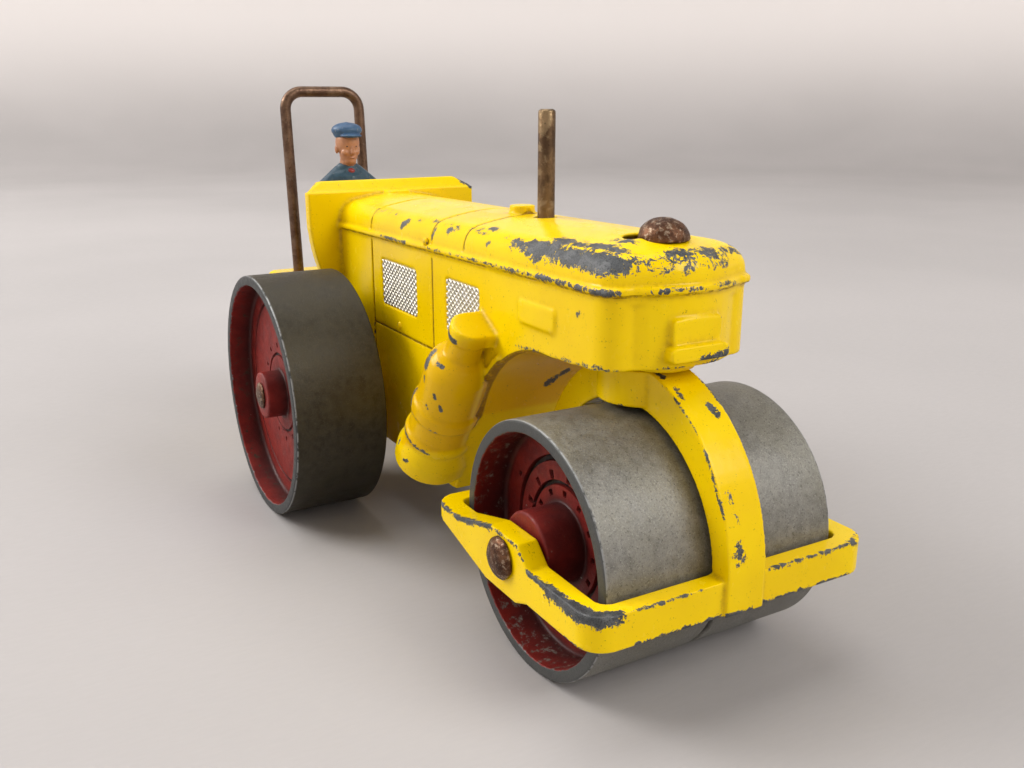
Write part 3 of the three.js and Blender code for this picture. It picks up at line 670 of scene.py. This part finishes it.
def on_canister(along, degrees, radius=3.9):
    """A point on the leaning canister, from its distance along the axis and its turn around it."""
    x, y, z = CANISTER_TOP
    sine, cosine = math.sin(CANISTER_LEAN), math.cos(CANISTER_LEAN)
    turn = math.radians(degrees)
    across = radius * math.cos(turn)
    return (x + along * sine + across * cosine, y + radius * math.sin(turn),
            z + along * cosine - across * sine)


CANISTER_WEAR = [
    ([on_canister(-0.6, turn, 2.25) for turn in (-175, -140, -105, -70)], 0.85, 0.98),
    ([on_canister(-4.3, -125, 3.2), on_canister(-5.6, -108, 3.8)], 1.3, 0.95),
    ([on_canister(-4.1, -84, 3.2), on_canister(-4.0, -70, 3.0)], 0.7, 0.85),
    ([on_canister(-8.6, -112), on_canister(-9.2, -104)], 0.8, 0.80),
    ([on_canister(-7.6, -62), on_canister(-8.0, -58)], 0.6, 0.85),
    ([on_canister(-11.0, -125, 4.2), on_canister(-12.6, -112, 4.2)], 1.1, 0.90),
    ([on_canister(-12.9, turn, 4.2) for turn in (-118, -90, -62, -40)], 0.7, 0.70),
    ([on_canister(-16.4, turn, 4.2) for turn in (-124, -96, -68, -40)], 0.6, 0.66),
    ([on_canister(-21.5, turn, 4.4) for turn in (-130, -96, -62, -30)], 0.6, 0.62),
    ([on_canister(-19.4, -76, 4.5), on_canister(-19.2, -70, 4.5)], 0.6, 0.75),
    ([on_canister(-6.9, -96), on_canister(-7.4, -92)], 0.5, 0.92),
    ([on_canister(-9.8, -70), on_canister(-10.2, -66)], 0.5, 0.90),
    ([on_canister(-8.8, -46), on_canister(-9.3, -42)], 0.6, 0.90),
    ([on_canister(-14.6, -86, 4.3), on_canister(-15.0, -80, 4.3)], 0.5, 0.88),
    ([on_canister(-18.0, -112, 4.5), on_canister(-18.9, -106, 4.5)], 0.6, 0.86),
]
COWL_WEAR = [
    ([(-66.8, 11.6, 43.7), (-65.2, 13.0, 42.6)], 1.3, 0.85),
    ([(-68.0, -12.0, 43.4), (-66.8, -11.6, 43.7)], 0.9, 0.55),
    ([(-67.5, -11, 43.8), (-67.5, 11, 43.8)], 0.6, 0.35),
    ([(-97.6, -11, 26.3), (-97.6, 11, 26.3)], 0.8, 0.5),
    ([(-97.6, -12, 17.8), (-66, -12, 17.8)], 0.7, 0.45),
    ([(-97.6, 12, 17.8), (-66, 12, 17.8)], 0.7, 0.45),
]
FORK_WEAR = [
    ([(-17.2, -16.7, 13.5), (-11, -16.7, 13.5), (-4, -16.7, 15.3)], 0.9, 0.78),
    ([(-4, -16.7, 15.3), (1, -16.7, 15.3), (3.5, -16.7, 13.7)], 0.5, 0.55),
    ([(3, -16.7, 13.5), (8, -16.7, 13.5)], 0.8, 0.78),
    ([(6.5, -16.7, 13.5), (11.0, -16.6, 13.3), (12.9, -15.6, 13.2), (13.6, -13.8, 13.4)], 1.8, 1.0),
    ([(13.6, -13.5, 13.5), (13.75, -5, 13.5)], 0.55, 0.6),
    ([(-17.1, -15, 12.2), (-17.1, 0, 12.0)], 0.7, 0.55),
    ([(2, -16.7, 9.5), (12, -16.7, 10.2)], 0.7, 0.62),
    ([(13.75, -12, 10.2), (13.75, 14, 10.2)], 0.75, 0.66),
    ([(13.6, 3, 13.5), (13.75, 13, 13.5), (12.4, 16.2, 13.4)], 0.7, 0.6),
    ([(13.4, 14.4, 13.6), (12.2, 16.2, 12.4)], 1.5, 0.8),
    ([(4, -2.25, 29.7), (9.5, -2.25, 26.0), (13, -2.25, 19.5)], 0.45, 0.66),
    ([(4.6, -1.3, 29.3), (5.8, -1.5, 28.6)], 0.9, 0.92),
    ([(6.9, 0.8, 27.9), (7.6, 1.0, 27.3)], 0.9, 0.92),
    ([(2.0, -1.6, 30.1), (2.8, -1.5, 30.0)], 0.8, 0.85),
    ([(12.4, -1.2, 21.6), (13.2, -0.8, 19.2)], 0.8, 0.60),
    ([(3.8, 2.25, 29.6), (8, 2.25, 27.6)], 0.7, 0.7),
    ([(14.2, -0.9, 15.6), (14.2, -0.9, 17.0)], 1.3, 0.82),
    ([(14.2, 0.8, 10.3), (14.2, -2.0, 10.3)], 0.8, 0.8),
    ([(-6, -2.2, 26.8), (0, -4.2, 26.7)], 0.5, 0.6),
]


def casting(name, node, body, voxel, keep, strokes):
    """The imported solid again, with soft cast edges and its wear."""
    mesh = skinned(name + "_copy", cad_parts[node].data.copy(), voxel, 3, keep)
    add_wear_and_hollows(mesh, strokes)
    piece(name, mesh, body, YELLOW, [node])


casting("body_shell", "body_casting", "body", 0.22, 0.5, BONNET_WEAR + CANISTER_WEAR + COWL_WEAR)
casting("fork_frame", "front_fork", "fork", 0.17, 0.6, FORK_WEAR)

# ---------- Rollers and wheels ----------


def web_relief(spec):
    """Presses the web's small slots and holes into a turned solid, by pushing its points inward.
    A mark is (inner radius, outer radius, count, width, phase, depth)."""

    def shape(radius, turn, along):
        if abs(along - spec["web"]) > 0.02:
            return radius, along
        depth = 0.0
        for low, high, count, width, phase, deep in spec["marks"]:
            if low < radius < high:
                share = (turn / (2 * math.pi) * count + phase) % 1 - 0.5
                if abs(share) * 2 * math.pi / count * radius < width / 2:
                    depth = max(depth, deep)
        return radius, along - depth

    return shape


def rolling_piece(node, body, spec, finish):
    """A roller or wheel, turned from its spec, with its radius and axle taken from the CAD node."""
    extent = Extent(node)
    side = -1 if extent.centre.y < 0 else 1
    radius = (extent.high.z - extent.low.z) / 2
    centre = (extent.centre.x, 0, extent.centre.z)
    web, hub = spec["web"], spec["hub"]
    bore, rim_inner, face, inner = spec["bore"], spec["rim_inner"], spec["face"], spec["inner"]
    web_back = web - WEB_THICKNESS
    corners = [
        (bore, spec["hub_end"], 0.1), (hub, spec["hub_end"], 0.35), (hub, web, 0.3),
        (rim_inner, web, 0.5), (rim_inner, face, 0.22), (radius, face, 0.3), (radius, inner, 0.3),
        (rim_inner, inner, 0.2), (rim_inner, web_back, 0.3), (hub, web_back, 0.3), (hub, inner, 0.1),
        (bore, inner, 0),
    ]
    outline = []
    for u, v in filleted(corners):
        last = outline[-1] if outline else None
        if last and abs(v - web) < 1e-6 and abs(last[1] - web) < 1e-6 and u > last[0] + 1:
            rings = int((u - last[0]) / RING_SPACING)
            for k in range(1, rings):
                ring = last[0] + (u - last[0]) * k / rings
                groove = max((deep for low, high, deep in spec["grooves"] if low < ring < high), default=0)
                outline.append((ring, web - groove))
        outline.append((u, v))
    mesh = turned(node + "_skin", outline, centre, side=side, segments=288, shape=web_relief(spec))
    places, _, _ = arrays(mesh)
    places = places / MM - np.array([KINGPIN_X, 0, 0])
    away = np.hypot(places[:, 0] - centre[0], places[:, 2] - centre[2])
    level = np.abs(places[:, 1])
    on_web = (away > hub + 0.3) & (away < rim_inner - 0.3)
    # The cavity value marks the web's sunk pits and the corners at the hub and the rim, where the finish
    # paints shade.
    sunk = (level < web - 0.05) & (level > web - 0.9) & on_web
    corner = np.exp(-((away - hub) / 0.5) ** 2) * (np.abs(level - web) < 0.5)
    corner += np.exp(-((away - rim_inner) / 0.6) ** 2) * (np.abs(level - web) < 0.8)
    store(mesh, "cavity", sunk * 1.0 + corner * 0.8)
    piece(node + "_drum", mesh, body, finish, [node], weighted=True)


# Radii and distances along the axle, in millimetres. A groove is (inner radius, outer radius, depth).
WEB_THICKNESS = 1.6
RING_SPACING = 0.11
ROLLER = {
    "web": 9.6, "hub": 4, "bore": 1.35, "hub_end": 14, "rim_inner": 11.7, "face": 13.6, "inner": 0.3,
    "grooves": [(8.3, 8.85, 0.5), (5.85, 6.25, 0.45)],
    "marks": [(6.5, 7.2, 14, 0.55, 0.2, 0.5), (6.2, 6.6, 14, 0.2, 0.2, 0.5),
              (4.75, 5.35, 12, 0.62, 0.5, 0.5), (9.5, 9.95, 8, 0.5, 0.1, 0.35)],
}
WHEEL = {
    "web": 21.9, "hub": 3.2, "bore": 1.35, "hub_end": 24.7, "rim_inner": 15.1, "face": 25.1, "inner": 13,
    "grooves": [(12.6, 13.0, 0.3), (5.2, 5.5, 0.3)],
    "marks": [(6.3, 6.9, 12, 0.5, 0.3, 0.35)],
}

# Tread tones: dark, light, soft stain and bright flecks.
ZINC = [(0.155, 0.152, 0.138), (0.25, 0.246, 0.225), (0.20, 0.19, 0.145), (0.40, 0.39, 0.35)]
# The rear wheels' tones are a much darker copy of the rollers' zinc: painted shade.
SHADED_OLIVE = [(0.030, 0.026, 0.018), (0.062, 0.055, 0.040), (0.052, 0.043, 0.024), (0.085, 0.078, 0.06)]
ROLLER_FINISH = wheel_finish("roller_zinc", "front_roller_right", ROLLER["rim_inner"], ROLLER["face"], ZINC,
                             [(0.12, 0.007, 0.006), (0.20, 0.014, 0.009)])
WHEEL_FINISH = wheel_finish("wheel_zinc", "rear_wheel_right", WHEEL["rim_inner"], WHEEL["face"], SHADED_OLIVE,
                            [(0.145, 0.008, 0.006), (0.235, 0.017, 0.011)])
for hand in ("right", "left"):
    rolling_piece(f"front_roller_{hand}", f"{hand}_roller", ROLLER, ROLLER_FINISH)
    rolling_piece(f"rear_wheel_{hand}", f"{hand}_wheel", WHEEL, WHEEL_FINISH)

# ---------- Pins, hoop and chimney ----------

RIVET = oxidised("rivet_oxide", (0.055, 0.024, 0.013), (0.150, 0.070, 0.036), (0.40, 0.31, 0.22), 1.9, 0.65)
HOOP = oxidised("hoop_oxide", (0.10, 0.056, 0.036), (0.17, 0.10, 0.062), (0.25, 0.185, 0.135), 0.7, 0.25)
BRASS = oxidised("chimney_brass", (0.075, 0.043, 0.022), (0.19, 0.115, 0.055), (0.40, 0.30, 0.17), 0.6, 0.4)


def hammered(amount, seed):
    """A little unevenness, as a rivet's spun-over head has."""

    def shape(radius, turn, along):
        place = Vector((radius * math.cos(turn), radius * math.sin(turn), along * 0.8 + seed))
        shift = noise.noise(place * 0.9) * amount + noise.noise(place * 2.4) * amount * 0.4
        return radius * (1 + shift * 0.5), along + shift * min(1.0, radius)

    return shape


def head_profile(radius, height, base, steps=12):
    """A domed head that curls under a little at its rim, from the rim inward."""
    points = [(radius * 0.93, base), (radius * 0.99, base + height * 0.02), (radius, base + height * 0.07)]
    for k in range(1, steps + 1):
        turn = math.pi / 2 * k / steps
        rise = 0.07 + 0.93 * math.sin(turn) ** 1.08
        points.append((radius * math.cos(turn) ** 0.9, base + height * rise))
    points[-1] = (0.0, base + height)
    return points


SHANK_RADIUS, SPREAD_RADIUS, SPREAD_HEIGHT = 1.55, 1.9, 1.1
HEAD_RADIUS, HEAD_HEIGHT, HEAD_SUNK = 2.45, 2.15, 0.2
AXLE_RADIUS = 1.15

rivet = Extent("kingpin_rivet")
foot, dome_base = rivet.low.z, rivet.high.z - HEAD_HEIGHT - HEAD_SUNK
kingpin = [(0, foot), (SPREAD_RADIUS, foot), (SPREAD_RADIUS, foot + SPREAD_HEIGHT),
           (SHANK_RADIUS, foot + SPREAD_HEIGHT), (SHANK_RADIUS, dome_base)]
kingpin += head_profile(HEAD_RADIUS, HEAD_HEIGHT, dome_base)
kingpin_mesh = turned("kingpin", kingpin, (rivet.centre.x, 0, 0), "Z", segments=72, closed=False,
                      shape=hammered(0.07, 3.0))
piece("kingpin", kingpin_mesh, "body", RIVET, ["kingpin_rivet"])


def axle(name, node, body, head_radius, head_height, seed):
    """A pin with a spun-over head at each end."""
    extent = Extent(node)
    half = extent.high.y - head_height
    end = head_profile(head_radius, head_height, half)
    outline = [(r, -h) for r, h in reversed(end)] + [(AXLE_RADIUS, -half), (AXLE_RADIUS, half)] + end
    mesh = turned(name, outline, (extent.centre.x, 0, extent.centre.z), "Y", segments=64, closed=False,
                  shape=hammered(0.09, seed))
    piece(name, mesh, body, RIVET, [node])


axle("front_axle", "front_axle_pin", "fork", 2.15, 1.0, 11.0)
axle("rear_axle", "rear_axle_pin", "body", 1.75, 0.4, 17.0)

WIRE_RADIUS = 0.9


def hoop_path():
    """The hoop's centreline: two legs that lean back a little and a top bar with even bends."""
    hoop = Extent("wire_hoop")
    half = hoop.high.y - WIRE_RADIUS
    top = hoop.high.z - WIRE_RADIUS
    foot = hoop.low.z + 0.05
    bend = 3.0
    straight = 26.4  # the legs stand upright up to here, in the tank box, and lean back above it

    def lean(z):
        share = max(0.0, (z - straight) / (top - straight))
        return (hoop.high.x - WIRE_RADIUS) * (1 - share) + (hoop.low.x + WIRE_RADIUS) * share

    flat = [(half, foot), (half, straight)]
    flat += [(half, straight + (top - bend - straight) * k / 12) for k in range(1, 13)]
    flat += [(half - bend + bend * math.cos(a), top - bend + bend * math.sin(a))
             for a in (math.pi / 2 * k / 12 for k in range(1, 13))]
    flat += [((half - bend) * (1 - k / 8), top) for k in range(1, 9)]
    flat += [(-y, z) for y, z in reversed(flat[:-1])]
    return [(lean(z), y, z) for y, z in flat]


piece("bent_hoop", tube("bent_hoop", hoop_path(), WIRE_RADIUS), "body", HOOP, ["wire_hoop"])

stack = Extent("chimney_pin")
stack_radius = (stack.high.x - stack.low.x) / 2
stack_outline = [(0, stack.low.z), (stack_radius, stack.low.z), (stack_radius, stack.high.z - 0.3),
                 (stack_radius - 0.08, stack.high.z - 0.12), (stack_radius - 0.3, stack.high.z),
                 (0, stack.high.z - 0.06)]
piece("chimney", turned("chimney", stack_outline, (stack.centre.x, 0, 0), "Z", segments=48, closed=False),
      "body", BRASS, ["chimney_pin"])

# ---------- Grilles and small latches on the side plates ----------

SILVER = silver_mesh()


def grille(name, x0, x1, z0, z1, side):
    """An embossed diamond-mesh panel that fills a pocket in the side plate."""
    pitch, relief, cell = 1.0, 0.26, 0.09
    back, face = 8.2, 8.3
    slant = 1.25
    columns = int((x1 - x0) / cell)
    rows = int((z1 - z0) / cell)
    verts, low = [], []
    for j in range(rows + 1):
        for i in range(columns + 1):
            x = x0 + (x1 - x0) * i / columns
            z = z0 + (z1 - z0) * j / rows
            u = abs(((x + z * slant) / pitch) % 1 - 0.5) * 2
            v = abs(((x - z * slant) / pitch) % 1 - 0.5) * 2
            ridge = max(0.0, (max(u, v) - 0.45) / 0.55)
            height = relief * math.sin(ridge * math.pi / 2)
            verts.append((x, side * (face + height), z))
            low.append(1 - height / relief)
    faces = []
    width = columns + 1
    for j in range(rows):
        for i in range(columns):
            k = j * width + i
            faces.append((k, k + 1, k + width + 1, k + width))
    rim = list(range(width)) + [j * width + columns for j in range(1, rows + 1)]
    rim += [rows * width + i for i in range(columns - 1, -1, -1)]
    rim += [j * width for j in range(rows - 1, 0, -1)]
    first = len(verts)
    for k in rim:
        x, _, z = verts[k]
        verts.append((x, side * back, z))
        low.append(1)
    for k in range(len(rim)):
        m = (k + 1) % len(rim)
        faces.append((rim[k], rim[m], first + m, first + k))
    faces.append(tuple(range(first, first + len(rim))))
    mesh = mesh_of(name, verts, faces, 75)
    store(mesh, "cavity", np.array(low))
    piece(name, mesh, "body", SILVER)


SIDES = (("right", -1), ("left", 1))
LATCHES = (("latch_low", -43.9, 26.7, 0.55, 8.45), ("latch_top", -34.6, 38.9, 0.5, 8.75))

for hand, side in SIDES:
    grille(f"rear_grille_{hand}", -49.4, -38.4, 28.8, 34.8, side)
    grille(f"front_grille_{hand}", -29.7, -21.5, 29.0, 35.2, side)

for hand, side in SIDES:
    for label, x, z, size, level in LATCHES:
        knob = [(0, level - 0.5), (size * 0.8, level - 0.5)] + head_profile(size, 0.45, level, 8)
        mesh = turned(f"{label}_{hand}", knob, (x, 0, z), "Y", side=side, segments=32, closed=False)
        add_wear_and_hollows(mesh, [([(x, side * 9, z)], 2.0, 0.3)], 0)
        piece(f"{label}_{hand}", mesh, "body", YELLOW)

# ---------- The driver ----------

figure = Extent("driver_figure")
SEAT = figure.low.x + 3.1
CROWN = figure.high.z
SOLE = figure.low.z
HIP = SOLE + 8.9
NECK = CROWN - 6.2

skin_paint = hand_paint("driver_skin", (0.50, 0.235, 0.115), (0.40, 0.17, 0.08), gloss=0.42, wear=0.72)
coat_paint = hand_paint("driver_coat", (0.012, 0.042, 0.068), (0.024, 0.066, 0.10), gloss=0.42)
cap_paint = hand_paint("driver_cap", (0.020, 0.066, 0.15), (0.040, 0.105, 0.20), gloss=0.45)
trouser_paint = hand_paint("driver_trousers", (0.014, 0.035, 0.062), (0.024, 0.052, 0.085), gloss=0.45)
boot_paint = hand_paint("driver_boots", (0.012, 0.010, 0.010), (0.03, 0.024, 0.02), gloss=0.35)
scarf_paint = hand_paint("driver_scarf", (0.30, 0.03, 0.03), (0.22, 0.02, 0.02), gloss=0.4)


def body_part(name, parts, material, voxel=0.16, rounds=4):
    """A piece of the driver: balls and limbs under one smooth skin."""
    mesh = skinned(name, blob(parts), voxel, rounds)
    return piece(name, mesh, "body", material)


def both(parts):
    """The parts for the right side and for the left."""
    return [p for side in (-1, 1) for p in parts(side)]


coat = body_part("driver_jacket", [
    ((SEAT, 0, HIP + 1.2), (SEAT + 0.2, 0, NECK - 3.6), (2.9, 2.9)),
    ((SEAT + 0.1, 0, NECK - 3.0), (2.4, 3.7, 2.3)),
    ((SEAT + 0.2, 0, NECK - 1.2), (1.6, 2.1, 1.3)),
    ((SEAT - 0.1, 0, HIP + 0.9), (3.0, 3.5, 1.9)),
] + both(lambda s: [
    ((SEAT + 0.1, s * 1.6, NECK - 1.7), (SEAT + 0.2, s * 4.0, NECK - 4.0), (1.15, 1.4)),
    ((SEAT + 0.2, s * 4.0, NECK - 4.0), (SEAT + 1.8, s * 4.8, NECK - 8.4), (1.4, 1.15)),
    ((SEAT + 1.8, s * 4.8, NECK - 8.4), (SEAT + 6.4, s * 3.4, HIP + 3.6), (1.2, 0.95)),
    ((SEAT + 6.2, s * 3.5, HIP + 3.6), (SEAT + 6.9, s * 3.3, HIP + 3.6), (1.15, 1.15)),
    ((SEAT + 1.55, s * 0.95, NECK - 1.6), (SEAT + 2.35, s * 0.35, NECK - 4.2), (0.42, 0.32)),
]), coat_paint)
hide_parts("driver_figure")
body_part("driver_hands", both(lambda s: [
    ((SEAT + 7.9, s * 3.0, HIP + 3.3), (1.15, 0.95, 0.7)),
    ((SEAT + 8.0, s * 2.3, HIP + 3.3), (SEAT + 8.8, s * 2.2, HIP + 3.0), (0.34, 0.3)),
    ((SEAT + 8.3, s * 2.8, HIP + 3.2), (SEAT + 9.3, s * 2.8, HIP + 2.7), (0.36, 0.3)),
    ((SEAT + 8.3, s * 3.4, HIP + 3.2), (SEAT + 9.3, s * 3.4, HIP + 2.7), (0.36, 0.3)),
]), skin_paint, 0.14)
body_part("driver_trousers", [((SEAT - 0.1, 0, HIP - 0.1), (2.9, 3.5, 2.0))] + both(lambda s: [
    ((SEAT + 0.3, s * 1.9, HIP), (SEAT + 7.4, s * 2.2, HIP + 0.5), (1.85, 1.5)),
    ((SEAT + 7.4, s * 2.2, HIP + 0.5), (SEAT + 8.0, s * 2.2, SOLE + 2.2), (1.5, 1.1)),
]), trouser_paint)
body_part("driver_boots", both(lambda s: [
    ((SEAT + 7.7, s * 2.2, SOLE + 0.95), (1.2, 1.0, 0.9)),
    ((SEAT + 9.0, s * 2.25, SOLE + 0.75), (1.4, 0.95, 0.7)),
    ((SEAT + 8.0, s * 2.2, SOLE + 1.2), (SEAT + 8.0, s * 2.2, SOLE + 2.8), (1.15, 1.15)),
]), boot_paint)

FACE = SEAT + 0.5
EYES = CROWN - 3.7
body_part("driver_head", [
    ((FACE, 0, EYES + 0.5), (2.2, 1.95, 2.3)),
    ((FACE + 0.35, 0, EYES - 1.2), (1.75, 1.5, 1.75)),
    ((FACE + 0.95, 0, EYES - 2.35), (1.0, 1.0, 0.75)),
    ((FACE + 1.25, 0, EYES + 0.45), (0.85, 1.35, 0.32)),
    ((FACE + 1.95, 0, EYES - 0.1), (FACE + 2.45, 0, EYES - 1.0), (0.24, 0.4)),
    ((FACE + 1.75, 0, EYES - 1.85), (0.42, 0.62, 0.2)),
    ((FACE - 0.1, 0, EYES - 2.2), (FACE - 0.3, 0, NECK - 1.2), (1.35, 1.45)),
] + both(lambda s: [
    ((FACE + 1.2, s * 0.95, EYES - 1.0), (0.75, 0.6, 0.6)),
    ((FACE + 1.62, s * 0.72, EYES + 0.02), (0.3, 0.34, 0.24)),
    ((FACE - 0.15, s * 1.85, EYES - 0.5), (0.5, 0.28, 0.75)),
]), skin_paint, 0.11, 3)
body_part("driver_eyes", both(lambda s: [
    ((FACE + 1.86, s * 0.74, EYES - 0.02), (0.14, 0.2, 0.13)),
]), boot_paint, 0.05, 1)
body_part("driver_cap", [
    ((FACE - 0.1, 0, EYES + 2.5), (2.7, 2.5, 1.25)),
    ((FACE - 0.2, 0, EYES + 1.8), (2.4, 2.15, 0.85)),
    ((FACE + 1.9, 0, EYES + 1.65), (1.55, 1.8, 0.34)),
    ((FACE - 0.1, 0, EYES + 3.6), (0.35, 0.35, 0.22)),
], cap_paint, 0.14, 3)
body_part("driver_scarf", [
    ((SEAT + 1.5, 0, NECK - 1.5), (0.8, 0.7, 0.55)),
    ((SEAT + 1.9, 0, NECK - 2.3), (0.5, 0.5, 0.7)),
], scarf_paint, 0.12, 3)

# ---------- Floor, light and camera ----------


def sweep():
    """A round floor that curves up into a wall, so that every view has the same plain backdrop."""
    flat, bend, tall = 700, 350, 1500
    middle, just_below = -45, -0.02
    outline = [(0, 0), (120, 0), (400, 0), (flat, 0)]
    outline += [(flat + bend * math.sin(a), bend - bend * math.cos(a))
                for a in (math.pi / 2 * k / 16 for k in range(1, 17))]
    outline += [(flat + bend, tall)]
    mesh = turned("sweep", outline, (middle, 0, just_below), "Z", segments=96, closed=False)
    mesh.flip_normals()
    obj = bpy.data.objects.new("sweep", mesh)
    bpy.context.scene.collection.objects.link(obj)
    obj.data.materials.append(paper())


def softbox(name, place, target, size, power, colour):
    """A rectangular area light, placed and aimed in millimetres."""
    light = bpy.data.lights.new(name, "AREA")
    light.shape = "RECTANGLE"
    light.size, light.size_y = size[0] * MM, size[1] * MM
    light.energy = power
    light.color = colour
    obj = bpy.data.objects.new(name, light)
    obj.location = at(*place)
    obj.rotation_mode = "QUATERNION"
    obj.rotation_quaternion = (at(*target) - at(*place)).to_track_quat("-Z", "Y")
    bpy.context.scene.collection.objects.link(obj)


sweep()
softbox("overhead", (-260, -60, 860), (-30, 0, 10), (800, 650), 4.3, (1.0, 0.985, 0.97))
softbox("right_side", (-540, -580, 540), (-30, 0, 20), (480, 380), 6.7, (1.0, 0.98, 0.96))
softbox("front_left", (620, 380, 620), (-20, 0, 20), (480, 420), 4.7, (1.0, 0.99, 0.97))

world = bpy.data.worlds.new("soft_room")
world.use_nodes = True
background = world.node_tree.nodes["Background"]
background.inputs["Color"].default_value = (1.0, 0.93, 0.84, 1)
background.inputs["Strength"].default_value = 0.22
bpy.context.scene.world = world
bpy.context.scene.view_settings.view_transform = "Standard"

# The camera stands where the photograph's did. Its heading and pitch are in radians.
camera = bpy.data.cameras.new("camera")
camera.sensor_width = 36
camera.lens = 33.93
camera.shift_x = -0.002
camera.shift_y = 0.0036
camera.clip_start = 0.005
eye = bpy.data.objects.new("camera", camera)
eye.location = at(72.3, -57.76, 55.15)
heading, pitch = 2.621, -0.288
look = Vector((math.cos(pitch) * math.cos(heading), math.cos(pitch) * math.sin(heading), math.sin(pitch)))
eye.rotation_mode = "QUATERNION"
eye.rotation_quaternion = look.to_track_quat("-Z", "Y")
bpy.context.scene.collection.objects.link(eye)
bpy.context.scene.camera = eye
